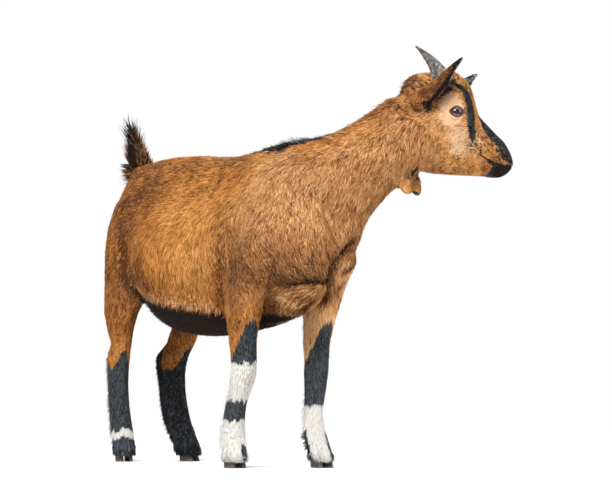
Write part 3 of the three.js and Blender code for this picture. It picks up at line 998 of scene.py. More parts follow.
@dataclass
class Roots:
    """Places on the skin that hair grows from. One row for each."""

    place: Array  # stance mm
    normal: Array
    region: Array  # the number in FLESH
    spot: Array  # the place on the skin's flat map

    def __getitem__(self, kept: Array) -> "Roots":
        """Some of the roots."""
        return Roots(self.place[kept], self.normal[kept], self.region[kept], self.spot[kept])

    def __len__(self) -> int:
        """How many there are."""
        return len(self.place)

    def each(self) -> Iterable[tuple[str, str, Array]]:
        """The nodes that have roots, with each node's kind and which roots are its own."""
        for number, (name, kind) in enumerate(zip(FLESH, KINDS)):
            mine = np.flatnonzero(self.region == number)
            if len(mine):
                yield name, kind, mine


@dataclass
class Lie:
    """The lie of the coat at a set of roots. One row for each root."""

    flow: Array  # the way the hair lies
    length: Array
    width: Array
    lift: Array  # a lying tuft's height over the skin in mm, or a standing tuft's angle off it in degrees
    curl: Array  # bend, as a share of the length
    density: Array  # tufts for each square millimetre

    @staticmethod
    def empty(count: int) -> "Lie":
        """No hair at all."""
        return Lie(np.zeros((count, 3)), *(np.zeros(count) for _ in range(5)))

    def put(self, where: Array, *values: float | Array) -> None:
        """Sets the lie at some of the roots, in the order of the fields."""
        for name, value in zip(self.__dataclass_fields__, values):
            getattr(self, name)[where] = value


class Legs:
    """The legs' centre lines, read off the skin."""

    def __init__(self, skin: Skin) -> None:
        """Cuts each leg into slices and takes the middle of each."""
        places = Sheet.points(skin.piece.data)
        self.lines: dict[str, tuple[Array, Array]] = {}
        for name in LEGS:
            mine = places[skin.is_in(f"leg_{name}")]
            levels = np.arange(12.0, 330.0, 8.0)
            slices = [mine[np.abs(mine[:, 2] - level) < 7] for level in levels]
            kept = [k for k, part in enumerate(slices) if len(part) > 4]
            middles = [(slices[k].min(0) + slices[k].max(0))[:2] / 2 for k in kept]
            self.lines[name] = (levels[kept], np.array(middles))

    def around(self, name: str, places: Array) -> tuple[Array, Array]:
        """How far places lie before a leg's centre line and to its outer side, in its own turned frame."""
        levels, middles = self.lines[name]
        centre = np.stack([np.interp(places[:, 2], levels, middles[:, k]) for k in (0, 1)], 1)
        angle = math.radians(LEGS[name])
        gap = places[:, :2] - centre
        left = gap[:, 1] * math.cos(angle) - gap[:, 0] * math.sin(angle)
        return gap[:, 0] * math.cos(angle) + gap[:, 1] * math.sin(angle), left * side_of(name)

    @staticmethod
    def behind(name: str) -> Array:
        """The way that is backwards for a leg."""
        angle = math.radians(LEGS[name])
        return np.array([-math.cos(angle), -math.sin(angle), 0.0])


def belly_line(x: Array) -> Array:
    """The height at which the flank's tan ends over the black belly."""
    stops = [-140, -108, -45, -13, 12, 32, 54, 71, 110, 150]
    return np.interp(x, stops, [272, 255, 242, 235, 232, 227, 226, 221, 215, 209])


def hem(places: Array) -> Array:
    """Where the tan flank overhangs the black belly."""
    gap = places[:, 2] - belly_line(places[:, 0])
    return rise(gap, -6, 2) * rise(gap, 34, 14) * rise(np.abs(places[:, 1]), 32, 50)


def brisket_flow(places: Array) -> Array:
    """The roll of the brisket: down from its fold, then back under the chest."""
    low = rise(places[:, 2], 250, 226)
    return mix(np.array(BRISKET_WAY), np.array([-0.35, -0.55, -1.0]), low[:, None])


class Comb:
    """Works out the lie of the coat."""

    def __init__(self, legs: Legs) -> None:
        """Uses the legs' centre lines."""
        self.legs = legs

    def lying(self, roots: Roots) -> Lie:
        """The lie of the flat coat.

        Args:
            roots: where the hair grows.

        Returns:
            The lie at each root.
        """
        lie = Lie.empty(len(roots))
        for name, kind, mine in roots.each():
            lie.put(mine, *getattr(self, kind)(name, roots.place[mine], roots.normal[mine]))
        near = creased(roots.place, 2.2)
        lie.length *= 1 - 0.5 * near
        lie.lift *= 1 - 0.6 * near
        return lie

    def trunk(self, name: str, places: Array, normals: Array) -> tuple:
        """Back along spine and rump, steep down fore flank and shoulder, and swirled at the brisket."""
        x, _, z = places.T
        stops = [-160, -115, -69, -30, 40, 95, 150, 210]
        high = np.interp(x, stops, [8, 10, 14, 18, 34, 60, 82, 88])
        low = np.interp(x, stops, [30, 48, 68, 76, 84, 88, 90, 92])
        slope = mix(low, high, rise(z, 290, 415)) * rise(z, 455, 415)
        slope = np.radians(slope + 13 * MOTTLE.at(places, 38) + 9 * MOTTLE.at(places, 14))
        flow = np.stack([-np.cos(slope), 0.3 * MOTTLE.at(places + 300, 40), -np.sin(slope)], 1)
        under = rise(-normals[:, 2], 0.45, 0.9)
        flow = towards(flow, [-1.0, 0, -0.15], under)
        flow = towards(flow, [-0.3, 0, -1.0], rise(-normals[:, 0], 0.6, 0.95))
        flow = towards(flow, [0.50, 0.32, -0.85], rise(x, 118, 160) * rise(z, 335, 285))
        chest = rise(x, 178, 205) * rise(z, 268, 258)
        flow = mix(flow, brisket_flow(places), chest[:, None])
        fringe = hem(places)
        length = 14.5 + 1.5 * rise(z, 445, 330) + 1.5 * chest + 3 * fringe
        lift = 4.6 + 0.8 * fringe + 1.4 * chest + 0.8 * rise(x, -150, -175)
        density = mix(0.54, 0.30, under * rise(z, 230, 205))
        return flow, length, 1.0 + 0.35 * under, lift, 0.17 + 0.10 * fringe + 0.16 * chest, density

    def neck(self, name: str, places: Array, normals: Array) -> tuple:
        """Back along the crest, and down the sides to the shoulder and chest."""
        x, _, z = places.T
        head = rise(x, 200, 300)
        flow = np.stack([mix(-0.12, -0.34, head), mix(-0.05, -0.26, head), -0.9 + 0 * x], 1)
        flow = towards(flow, [-0.85, -0.5, -0.38], rise(away(places, CREST), 62, 12))
        flow += MOTTLE.drift(places, 34, 0.22) + MOTTLE.drift(places + 500, 13, 0.12)
        flow = towards(flow, [-0.5, -0.45, -0.7], rise(z, 330, 300) * rise(x, 215, 235))
        near = rise(away(places, CREST), 22, 6)
        return flow, 13.5 + 3 * near, 1.05, 4.5 + 0.6 * near, 0.14, 0.60

    def head(self, name: str, places: Array, normals: Array) -> tuple:
        """From the nose up the face, round the eyes, and down the cheeks; shortest on the muzzle."""
        local = HEAD.local(places)
        x, _, z = local.T
        flow = np.broadcast_to([-1.0, 0.0, 0.1], places.shape)
        flow = towards(flow, [-0.35, 0, -1.0], rise(z, 0, -34) * rise(x, 26, -22))
        flow = towards(flow, [-0.9, 0, -0.35], rise(z, -52, -70) * rise(x, 42, 20))
        crown = rise(z, 26, 44) * rise(x, 30, 10)
        flow = towards(flow, [-0.75, 0, 0.5], crown)
        flow[:, 2] += 0.8 * np.exp(-(((x + 1) ** 2 + (z + 3) ** 2) / 17**2)) * np.sign(z + 3)
        flow = HEAD.turned(flow) + MOTTLE.drift(places, 15, 0.22)
        back = rise(x, 40, -50)
        near = np.min([np.abs(eye.polar(local)[1]) for eye in EYES.values()], axis=0)
        length = (mix(3.0, 7.4, back) + 1.5 * crown) * mix(0.5, 1.0, rise(near, 0, 12))
        lift = mix(0.7, 2.9, back) * mix(0.6, 1, rise(near, 0, 10)) + 0.5 * crown
        return flow, length, mix(0.54, 0.86, back), lift, 0.14, mix(1.18, 0.62, back)

    def ear(self, name: str, places: Array, normals: Array) -> tuple:
        """From the ear's root to its tip."""
        share, _, mouth = ear_frame(name, places)
        flow = ear_way(name) + 0.25 * MOTTLE.drift(places, 12, 1.0)
        inner = rise(normals @ mouth, 0, 0.5)
        length = mix(6.5, 4.2, share) + 3.0 * inner * rise(share, 0.75, 0.5)
        return flow, length, 0.85, mix(1.6, 0.9, share) + 1.0 * inner, 0.1, 0.75

    def wattle(self, name: str, places: Array, normals: Array) -> tuple:
        """Down the lobe."""
        return np.array([0.25, -0.1, -1.0]) + MOTTLE.drift(places, 9, 0.5), 6.0, 1.1, 1.3, 0.2, 0.85

    def tail(self, name: str, places: Array, normals: Array) -> tuple:
        """Up and outwards."""
        return np.array([-0.12, 0.0, 1.0]) + normals * 0.1, 17.0, 1.2, 5.0, 0.15, 0.6

    def leg(self, name: str, places: Array, normals: Array) -> tuple:
        """Down the leg, longer behind it and over the claws."""
        x, _, z = places.T
        leg = name[4:]
        behind = rise(-self.legs.around(leg, places)[0], 3, 12)
        low = rise(z, 270, 190)
        flow = np.array([-0.10, 0, -1.0]) + self.legs.behind(leg) * (0.3 * behind * low)[:, None]
        flow = towards(flow, [-0.55, 0, -0.8], rise(z, 260, 320) * (1.0 if "hind" in leg else 0.15))
        if leg == "front_right":
            flow = towards(flow, [0.45, 0.30, -0.85], rise(z, 228, 268) * rise(x, 140, 180))
        flow += MOTTLE.drift(places, 24, 0.16) + MOTTLE.drift(places + 500, 9, 0.10)
        over_claws = rise(z, 40, 28)
        length = mix(mix(13.5, 8.0, low) + 2.5 * behind * low, np.clip(z - 6.5, 7.0, 15.0), over_claws)
        lift = mix(4.2, 2.8, low) + 0.7 * behind * low + 0.9 * over_claws
        return flow, length, mix(1.12, 0.95, low), lift, 0.12, mix(0.58, 0.78, low)

    def standing(self, roots: Roots) -> Lie:
        """The lie of the hair that stands off the body: ridge, tail brush, fringes and hems.

        Args:
            roots: where the hair might grow.

        Returns:
            The lie, with no density where none stands.
        """
        lie = Lie.empty(len(roots))
        where = {name: roots.region == number for number, name in enumerate(FLESH)}
        flat = self.lying(roots)
        stray = ~(where["tail"] | where["ear_right"] | where["ear_left"])
        density = np.where(where["head"][stray], 0.0, 0.006)
        lie.put(stray, flat.flow[stray], flat.length[stray] * 0.8, 0.55, 22.0, 0.2, density)
        self.stand_on_trunk(lie, roots, where, flat)
        self.stand_on_head(lie, roots, where["head"])
        for name in LEGS:
            self.stand_on_leg(lie, roots, where[f"leg_{name}"], name)
        self.stand_on_tail(lie, roots, where["tail"])
        lie.density[where["wattle_right"] | where["wattle_left"]] = 0.0
        return lie

    def stand_on_trunk(self, lie: Lie, roots: Roots, where: dict[str, Array], flat: Lie) -> None:
        """Ridge and spine, the hem over the belly, the belly, the brisket, the rump and the dock."""
        places, trunk = roots.place, where["trunk"]
        x, y, z = places.T
        back, from_crest = trunk | where["neck"], away(places, CREST)
        ridge = back & (from_crest < 11) & (x > 84)
        tall = bell(x[ridge] - 182, 24)
        lie.put(ridge, [-0.85, -0.3, 0.1], 11 + 7 * tall, 1.0, 20 + 15 * tall, 0.16, 0.12 + 0.28 * tall)
        lie.put(back & (from_crest < 10) & (x <= 84) & (x > -150), [-1.0, 0, 0], 12.0, 0.9, 14.0, 0.1, 0.08)
        fringe = trunk & (hem(places) > 0.25)
        lie.put(fringe, [-0.25, 0.1, -1.0] + 0.3 * flat.flow[fringe], 14.0, 1.0, 14.0, 0.35, 0.07)
        belly = trunk & (roots.normal[:, 2] < -0.3) & (x < 190)
        lie.put(belly, [-1.0, 0.0, -0.2], 12.0, 0.9, 9.0, 0.2, 0.05)
        chest = trunk & (x > 182) & (z < 262) & (z > 214)
        lie.put(chest, brisket_flow(places[chest]), 15.0, 1.2, 9.0, 0.22, 0.07)
        under = trunk & (away(places, UNDER_BRISKET) < 20)
        lie.put(under, [-0.7, -0.6, -0.5], 10.0, 1.0, 12.0, 0.3, 0.12)
        lie.put(trunk & (x < -178), [-0.4, 0, -0.7], 12.0, 0.9, 22.0, 0.3, 0.05)
        dock = trunk & (x < -172) & (z > 375) & (z < 432) & (np.abs(y) < 16)
        lie.put(dock, [-0.3, 0.1, -0.8], 22.0, 0.9, 52.0, 0.2, 0.16)

    @staticmethod
    def stand_on_head(lie: Lie, roots: Roots, head: Array) -> None:
        """The crown between the horns, the forehead, the poll and the feet of the horns."""
        local = HEAD.local(roots.place)
        x, y, z = local.T
        crown = head & (away(local, line_of((-6, -14, 52), (-6, 14, 52))) < 15)
        lie.put(crown, HEAD.turned([-0.5, 0, 0.6]), 5.0, 0.8, 12.0, 0.7, 0.34)
        front = head & (x > -16) & (x < 12) & (z > 27) & (np.abs(y) < 27)
        lie.put(front, HEAD.turned([-0.85, 0, 0.5]), 8.5, 0.8, 7.0, 0.4, 0.5)
        lie.put(head & (x < -34) & (z > 22), HEAD.turned([-1.0, 0, 0.1]), 8.0, 0.9, 14.0, 0.3, 0.08)
        for hand in HANDS.values():
            foot = head & (from_spot(local, (-20, 15 * hand, 52)) < 20)
            lie.put(foot, HEAD.turned([-0.45, 0.15 * hand, 1.0]), 6.5, 1.0, 28.0, 0.3, 0.34)
            before = foot & (x > -18) & (z < 51)
            lie.put(before, HEAD.turned([-0.8, 0.1 * hand, 1.0]), 10.0, 1.1, 26.0, 0.3, 0.6)

    def stand_on_leg(self, lie: Lie, roots: Roots, leg: Array, name: str) -> None:
        """The fringe behind the leg, the tuft behind the pastern, the hem over the claws and the forearm."""
        z = roots.place[:, 2]
        fore = self.legs.around(name, roots.place)[0]
        way = self.legs.behind(name)
        hind, far = "hind" in name, name == "hind_left"
        rear = leg & (fore < -5) & (z < (172 if hind else 100)) & (z > 42)
        length = (8.5 if far else 12.0) if hind else 11.5
        lie.put(rear, [0, 0, -0.75] + way * 0.65, length, 0.8, 16.0 if far else 24.0, 0.12, 0.18)
        tuft = leg & (fore < -3) & (z < 52) & (z > 24)
        lie.put(tuft, [0, 0, -0.8] + way * 0.7, 9.0 if far else 13.0, 0.85, 20.0 if far else 30.0, 0.2, 0.22)
        low = leg & (z < 30) & (z > 14)
        lie.put(low, [0, 0, -1.0] - way * 0.15, np.clip(z[low] - 6.0, 8, 17), 0.95, 14.0, 0.12, 0.36)
        if not hind:
            lie.put(leg & (z > 200) & (fore < -8), [0, 0, -0.9] + way * 0.5, 13.0, 1.0, 20.0, 0.3, 0.06)

    @staticmethod
    def stand_on_tail(lie: Lie, roots: Roots, tail: Array) -> None:
        """The brush, in wisps, and the hair round its root."""
        places, normals = roots.place, roots.normal
        height = rise(places[:, 2], 436, 480)
        upward = np.array([-0.40, 0.0, 1.0]) + normals * np.array([0.22, 0.2, 0.0])
        upward[:, 0] += 0.45 * MOTTLE.at(places * [1, 1, 0.4] + 70, 7)
        high = height[tail]
        brush = mix(17.0, 34.0, high), 1.0, mix(20.0, 11.0, high), 0.12, mix(0.60, 0.36, high)
        lie.put(tail, upward[tail], *brush)
        root = tail & (places[:, 2] < 442) & (normals[:, 0] < -0.1)
        lie.put(root, [-0.8, 0.1, 0.12], 20.0, 0.9, 50.0, 0.2, 0.24)


# ---------- markings ----------


@dataclass(frozen=True)
class Wash:
    """A part of the trunk's side that is lighter or darker, and browner, than the rest."""

    shade: float
    fades: tuple[Fade, ...]
    brown: float = 0.0


WASHES = {
    "barrel": Wash(0.25, (("barrel", 98, 20),)),
    "rump": Wash(-0.52, (("x", 15, -125), ("z", 200, 300))),
    "behind the flank fold": Wash(0.13, (("x", -120, -138), ("z", 420, 400))),
    "loin": Wash(0.10, (("z", 395, 420), ("x", -20, -60))),
    "flank": Wash(-0.20, (("z", 310, 285), ("x", 0, -50), ("x", -125, -110))),
    "flank's brown": Wash(0.0, (("z", 310, 285), ("x", 0, -50), ("x", -120, -100)), 0.3),
    "stifle": Wash(-0.08, (("z", 265, 240), ("x", -110, -125))),
    "back": Wash(-0.22, (("z", 418, 440), ("x", -60, 0), ("x", 130, 90)), 0.5),
    "elbow": Wash(0.06, (("z", 330, 300), ("x", 70, 100), ("x", 150, 120)), 0.3),
    "low ribs": Wash(-0.10, (("z", 300, 265), ("x", 100, 60))),
    # Painted shade in a band on the flank behind the shoulder.
    "upper arm": Wash(-0.30, (("arm", 42, 6), ("z", 410, 335))),
    "shoulder blade": Wash(0.25, (("blade", 66, 12),)),
    "before the shoulder": Wash(0.10, (("x", 110, 160), ("z", 330, 350))),
    "foot of the neck": Wash(0.09, (("x", 185, 215), ("z", 325, 350))),
    "before the withers": Wash(-0.10, (("z", 365, 400), ("x", 135, 100))),
    "forequarter": Wash(0.0, (("x", 90, 165),), 0.80),
    "hindquarter": Wash(0.0, (("x", -10, -120),), 0.28),
    "thigh": Wash(0.0, (("z", 290, 220), ("x", -60, -120)), 0.3),
}
LEG_BLACK = {  # how high the black reaches, from the back of each leg to its front
    "front_right": ([-16, -3, 10, 18, 23, 28], [150, 154, 173, 190, 206, 216]),
    "front_left": ([-16, -8, -3, 12, 15, 20, 28], [142, 143, 149, 168, 183, 201, 212]),
    "hind_right": ([-16, -10, -4, 9, 14, 20, 25, 30], [172, 160, 146, 138, 142, 150, 168, 178]),
    "hind_left": ([-16, -11, -6, 0, 10, 16, 20, 23, 27], [176, 162, 142, 137, 137, 141, 150, 172, 198]),
}
DEW_SPOT = line_of((140, -44, 40), (137, -45, 22))  # the black at the side of the right forefoot
STAIN = (151, -47, 126)  # the pale tan patch on the right foreleg's white
THROAT_SPOT = (308, 127, 422)
# The back line's width by x.
STRIPE = ([20, 52, 72, 100, 140, 162, 200, 215, 262], [6, 11, 7, 10, 17, 21, 19, 12, 8])


class Markings:
    """The coat's colours by place: black, white and pale shares, and how light and how brown a region is."""

    def __init__(self, legs: Legs) -> None:
        """Uses the legs' centre lines."""
        self.legs = legs

    def paint(self, roots: Roots) -> tuple[Array, Array, Array]:
        """The markings.

        Args:
            roots: points on the skin.

        Returns:
            The black, white and pale shares, a row for each point, the shade of the region, and the share of
            brown in the tan.
        """
        places = roots.place
        x = places[:, 0]
        kinds = np.array(KINDS)[roots.region]
        marks, brown = np.zeros((len(places), 3)), np.zeros(len(places))
        shade = 0.14 * MOTTLE.at(places, 26) + 0.17 * MOTTLE.at(places + 90, 10)
        shade += 0.34 * MOTTLE.at(places * [1, 1, 0.45] + 40, 4.2)
        shade = 0.47 + shade * np.where(kinds == "leg", 0.62, np.where(kinds == "head", 1.2, 1.0))
        for name, kind, mine in roots.each():
            found = np.broadcast_arrays(*getattr(self, kind)(name, places[mine], roots.normal[mine]))
            marks[mine] = np.clip(np.stack(found[:3], 1), 0, 1)
            shade[mine] += found[3]
            brown[mine] = found[4]
        body = ~np.isin(kinds, ("head", "ear", "tail"))
        # Painted shade: the hair in and beside each fold of the body is darkened, and blackened at its
        # bottom.
        for crease in CREASES:
            beside = crease.away(places) + 0.35 * MOTTLE.at(places, 6)
            marks[:, 0] = np.maximum(marks[:, 0], body * crease.dark * rise(beside, 1.35, 0.45))
            shade -= 0.60 * body * crease.dark * rise(beside, 3.2, 0.8)
        wide = np.interp(x, *STRIPE)
        stripe = rise(away(places, CREST) + 3.5 * MOTTLE.at(places, 6), wide, wide * 0.45)
        stripe *= np.isin(kinds, ("trunk", "neck")) * rise(x, -190, -150) * rise(x, 274, 236)
        stripe *= np.maximum(bell(x - 52, 17), mix(0.4, 1.0, rise(x, 60, 100)))  # broken behind the loin
        marks[:, 0] = np.maximum(marks[:, 0], stripe)
        return marks, shade, np.clip(brown + 0.15 * MOTTLE.at(places + 700, 30), 0, 1)

    def trunk(self, name: str, places: Array, normals: Array) -> tuple:
        """Orange tan, browner at the shoulder, darker at the brisket and rump, with a black belly; painted
        shade under the brisket's roll and on the belly.
        """
        x, y, z = places.T
        edge = z - belly_line(x) + 3.5 * MOTTLE.at(places, 8)
        black = rise(edge, 3, -4) * np.maximum(rise(x, 150, 120), rise(np.abs(y), 34, 24) * rise(x, 212, 196))
        black = np.maximum(black, rise(away(places, UNDER_BRISKET) + 2 * MOTTLE.at(places, 6), 13, 5))
        shade, brown = self.side(places)
        locks = MOTTLE.streaks(places, mix(np.array(BRISKET_WAY), np.array([-0.3, -0.4, -1.0]), 0.3), 5.0)
        # Painted shade under the brisket's roll, and on the black belly below its edge.
        shade += self.roll(places) * (0.28 + 0.85 * locks - 0.5 * rise(z, 242, 218)) - 0.6 * rise(edge, 2, -6)
        pale = 0.25 * rise(edge, 34, 4) * rise(x, 120, 60) * rise(z, 300, 270) * (1 - black)
        return black, 0.0, pale, shade, np.maximum(brown, 1.2 * black)

    def side(self, places: Array) -> tuple[Array, Array]:
        """The tan's shade and its share of brown on trunk, shoulder and thigh."""
        x, _, z = places.T
        along = {
            "x": x, "z": z, "arm": np.abs(x - 142),
            "barrel": np.hypot(x - 46, (z - 322) * 0.9), "blade": np.hypot(x - 158, (z - 392) * 0.8),
        }
        bulge = self.bulge(places)
        shade = 0.42 * bulge + 0.4 * self.waves(places) * bulge * rise(z, 300, 265) - 0.05
        shade -= 0.46 * rise(x, 120, 175) * rise(z, 335, 280) * (1 - self.roll(places))
        brown = np.zeros(len(places))
        for wash in WASHES.values():
            share = faded(wash.fades, along)
            shade += wash.shade * share
            brown += wash.brown * share
        return shade, brown

    @staticmethod
    def roll(places: Array) -> Array:
        """The roll of the brisket."""
        return rise(places[:, 0], 182, 205) * rise(places[:, 2], 264, 258)

    @staticmethod
    def bulge(places: Array) -> Array:
        """The paler left side of the chest."""
        return rise(places[:, 1], 22, 40) * rise(places[:, 0], 190, 215) * rise(places[:, 2], 345, 300)

    @staticmethod
    def waves(places: Array) -> Array:
        """Slanting locks at the top of the left foreleg."""
        return MOTTLE.streaks(places, [-0.45, -0.55, -0.75], 5.0)

    @staticmethod
    def nape(places: Array) -> Array:
        """How much darker the hair is behind the ears."""
        x, _, z = HEAD.local(places).T
        return 0.34 * rise(x, -52, -72) * rise(x, -150, -110) * rise(z, -24, 6)

    def neck(self, name: str, places: Array, normals: Array) -> tuple:
        """Brown tan with a black throat line."""
        z = places[:, 2]
        from_throat, from_crest = away(places, THROAT), away(places, CREST)
        black = 0.8 * rise(from_throat + 2 * MOTTLE.at(places, 7), 8, 3) * rise(z, 332, 346)
        spot = rise(from_spot(places, THROAT_SPOT) + 2 * MOTTLE.at(places, 5), 15, 8)
        shade = 0.11 - self.nape(places) - 0.14 * rise(from_throat, 30, 10) - 0.20 * rise(z, 330, 300)
        shade += 0.22 * self.bulge(places) - 0.26 * rise(from_crest, 40, 14)
        return np.maximum(black, 0.95 * spot), 0.0, 0.0, shade, mix(0.3, 0.75, rise(from_crest, 20, 55))

    def head(self, name: str, places: Array, normals: Array) -> tuple:
        """Peach round the eyes, with black stripes from the horns past the eyes and a dark nose and chin."""
        folded = to_left(HEAD.local(places))
        x, y, z = folded.T
        rough, fine = MOTTLE.at(places, 3.2), MOTTLE.at(places, 1.5)
        below = lips_at(x) - z
        forehead = rise(z, 22, 32)
        bridge, tip = self.nose(x, y, z, rough)
        ring = np.hypot((x + 8.5) / 19, (z + 1) / 25)
        brow = rise(away(folded * [1, 0.4, 1], BROW_AND_EAR_SHADOW * [1, 0.4, 1]) + 1.8 * rough, 9.5, 1)
        chin = rise(below + 1.2 * rough, 1.5, 6) * rise(x - 0.9 * (z + 80) + 1.8 * rough, 38, 52)
        black = np.max([
            self.eye_stripe(x, y, z, rough), bridge, tip, chin,
            rise(x, 64, 67) * rise(below, 0.5, 1.5),  # the front of the lower lip
            0.9 * rise(away_across(places, MOUTH), 1.6, 0.7),
            0.9 * rise(below, -0.4, 0.8) * rise(below + rough, 7.0, 3.0) * rise(x, 36, 46),  # the lower lip
            # the strip under the ear: dark hair, with painted shadow of the ear
            brow * mix(0.45, 0.9, rise(z, 12, 26)),
            # Between the horns, painted shadow in the hollow below the ear's root, and on the muzzle's side:
            0.50 * rise(np.hypot((x + 4) / 16, (z - 36) / 10), 1.1, 0.5) * rise(y, 24, 16),
            0.8 * rise(np.hypot((x + 41) / 5, (z - 2) / 5) + 0.3 * rough, 1.3, 0.5) * rise(y, 20, 28),
            rise(x, 40, 56) * rise(z, -76, -66) * rise(z, -46, -54) * (0.50 + 0.45 * fine),
            0.28 * forehead * rise(x, -26, -12),
            0.85 * rise(MOTTLE.at(places + 30, 1.2), 0.0, 0.5) * np.maximum(
                forehead * 0.8, rise(np.hypot((x - 30) / 20, (z + 45) / 19), 1.2, 0.6)
            ),  # speckles on forehead and muzzle
        ], axis=0)
        pale = np.max([
            0.86 * rise(ring + 0.16 * rough, 1.28, 0.72) * rise(x, 15, 11),
            0.72 * rise(np.hypot((x - 8) / 24, (z + 42) / 22) + 0.3 * rough, 1.6, 0.4),  # the cheek
            0.35 * rise(np.hypot(x - 34, z + 50), 18, 6),
        ], axis=0)
        muzzle = rise(x, 40, 56) * rise(z, -48, -54)
        front = np.max([rise(x, 18, 28) * rise(z, -64, -52), rise(z, 18, 30), 0.35 + 0 * x], axis=0)
        shade = 0.36 - 0.34 * rise(z, -62, -84) * rise(x, 30, 0) - 0.20 * rise(x, -40, -80)
        crown = 0.26 * rise(z, 10, 30) * rise(x, -50, -10)
        shade += 0.25 * rise(ring, 1.0, 0.8) - crown - 0.16 * rise(x, 24, 40)
        # The last term darkens the hair under the ear: dark hair, with painted shadow of the ear.
        shade += 0.9 * front * MOTTLE.at(places + 60, 2.6) - 0.34 * rise(z, 2, 26) * rise(x, -26, -48)
        shade -= 0.30 * rise(x, 36, 46) * rise(z, -64, -56) + 0.14 * muzzle + self.nape(places)
        lip = 0.22 * rise(x, 38, 48) * rise(z, -57, -63) * (1 - black)
        shade += 0.50 * np.maximum(bridge, tip) * rise(x, 38, 50) - lip
        shade -= 0.5 * rise(from_spot(folded, (-2, 17, -64)), 5, 2)
        brown = np.max([0.9 * muzzle, 0.5 + 0 * x, 0.62 * bridge], axis=0)
        return black, 0.0, pale * (1 - black), shade, brown

    @staticmethod
    def eye_stripe(x: Array, y: Array, z: Array, rough: Array) -> Array:
        """The black stripe from the horn past the eye, between two angles seen from behind the eyes."""
        angle = np.degrees(np.arctan2(y, x + 20)) + 2.2 * rough
        low = np.interp(
            z, [-51, -44, -37, -27, -15, -4, 5, 15, 26, 34, 41],
            [38.4, 37.6, 36, 32.5, 28.5, 26, 24, 23, 29, 40, 56],
        )
        high = np.interp(
            z, [-51, -44, -37, -28, -18, -6, 8, 20, 30, 36, 41],
            [38.6, 40, 43, 46.5, 48, 46.5, 47, 48, 51, 63, 74],
        )
        return rise(angle - low, -5, 4) * rise(high - angle, -4.5, 4) * rise(x, -24, -14) * rise(z, -55, -46)

    @staticmethod
    def nose(x: Array, y: Array, z: Array, rough: Array) -> tuple[Array, Array]:
        """The black bridge of the nose, and its tip."""
        side = np.interp(
            x, [24, 26.5, 30, 32.5, 38, 44, 50, 55, 58.5, 60.5],
            [0, 8, 11, 14.5, 15, 15.3, 15, 15.5, 17.5, 19],
        )
        bridge = rise(side - y + 1.4 * rough, -4.5, 3.5) * rise(x, 23, 28) * rise(z, -67, -61)
        return bridge, rise(x + 1.4 * rough, 55.5, 65.5) * rise(z + 0.55 * (x - 60), -67, -64)

    def ear(self, name: str, places: Array, normals: Array) -> tuple:
        """Brown behind, with a black lower rim, a dark grey tip, a dark hollow, and painted shade towards the
        lower edge and at the root's notch.
        """
        share, across, mouth = ear_frame(name, places)
        rough = MOTTLE.at(places, 4)
        inner = rise(normals @ mouth, 0.62, 0.86)
        local = HEAD.local(places) * [1, side_of(name), 1]
        black = np.max([
            inner * 0.92, 0.8 * rise(share + 0.05 * rough, 0.66, 0.90),
            rise(away(local, EAR_RIM) + 0.8 * rough, 4.2, 1.2),
            # painted shadow in the hollow at the ear's root
            rise(from_spot(local, EAR_RIM[-1]) + 1.5 * rough, 9.5, 4.5),
        ], axis=0)
        # Darker along the ear's lower half past its root: partly painted shade.
        shade = -0.16 - 0.42 * rise(share, 0.17, 0.33) - 0.34 * rise(across, 0.0, 0.7) * rise(share, 0.1, 0.3)
        return black, inner * rise(share, 0.45, 0.7) * 0.45, 0.0, shade + 0.35 * rise(share, 0.72, 0.9), 0.25

    def wattle(self, name: str, places: Array, normals: Array) -> tuple:
        """Tan, dark at its top and its foot: the left one more than the right one."""
        height = places[:, 2] + 3 * MOTTLE.at(places, 5)
        low, high = (393, 406) if name == "wattle_left" else (380, 420)
        black = np.maximum(rise(height, low + 3, low - 3), 0.9 * rise(height, high, high + 7))
        return black, 0.0, 0.0, 0.30, 0.3

    def tail(self, name: str, places: Array, normals: Array) -> tuple:
        """Black with a brown core."""
        brown = rise(MOTTLE.at(places * [1, 1, 0.3], 7), -0.35, 0.25) * rise(places[:, 2], 486, 462)
        return 1 - 0.55 * brown, 0.0, 0.0, -0.72, 0.9

    def leg(self, name: str, places: Array, normals: Array) -> tuple:
        """Tan above, then black, with white on three of the feet."""
        z = places[:, 2]
        leg = name[4:]
        fore, outer = self.legs.around(leg, places)
        height = z + 4.5 * MOTTLE.at(places * [1, 1, 0.25], 5) + 2.0 * MOTTLE.at(places + 9, 3)
        frost = MOTTLE.at(places * [1, 1, 0.12], 3.0)
        black = rise(height - np.interp(fore, *LEG_BLACK[leg]), 3.5, -3.5)
        stain = 0.0 * z
        if leg == "front_right":
            stain = 0.9 * rise(from_spot(places * [1, 1, 0.75], np.array(STAIN) * [1, 1, 0.75]), 13, 4)
        white = self.white(leg, places, fore, outer, height) * (1 - 0.52 * stain)
        black *= 1 - rise(stain, 0.1, 0.4)
        # Painted shade on the inner side of the leg; the black is lifted towards its frost and painted sheen.
        shade = -0.12 * rise(-outer, 0, 14) + 0.3 * frost * rise(z, 40, 20) + 0.42 * black
        brown = 0.55 * rise(z, 220, 300) + 0.25
        pale = 0.9 * stain
        if leg == "front_left":
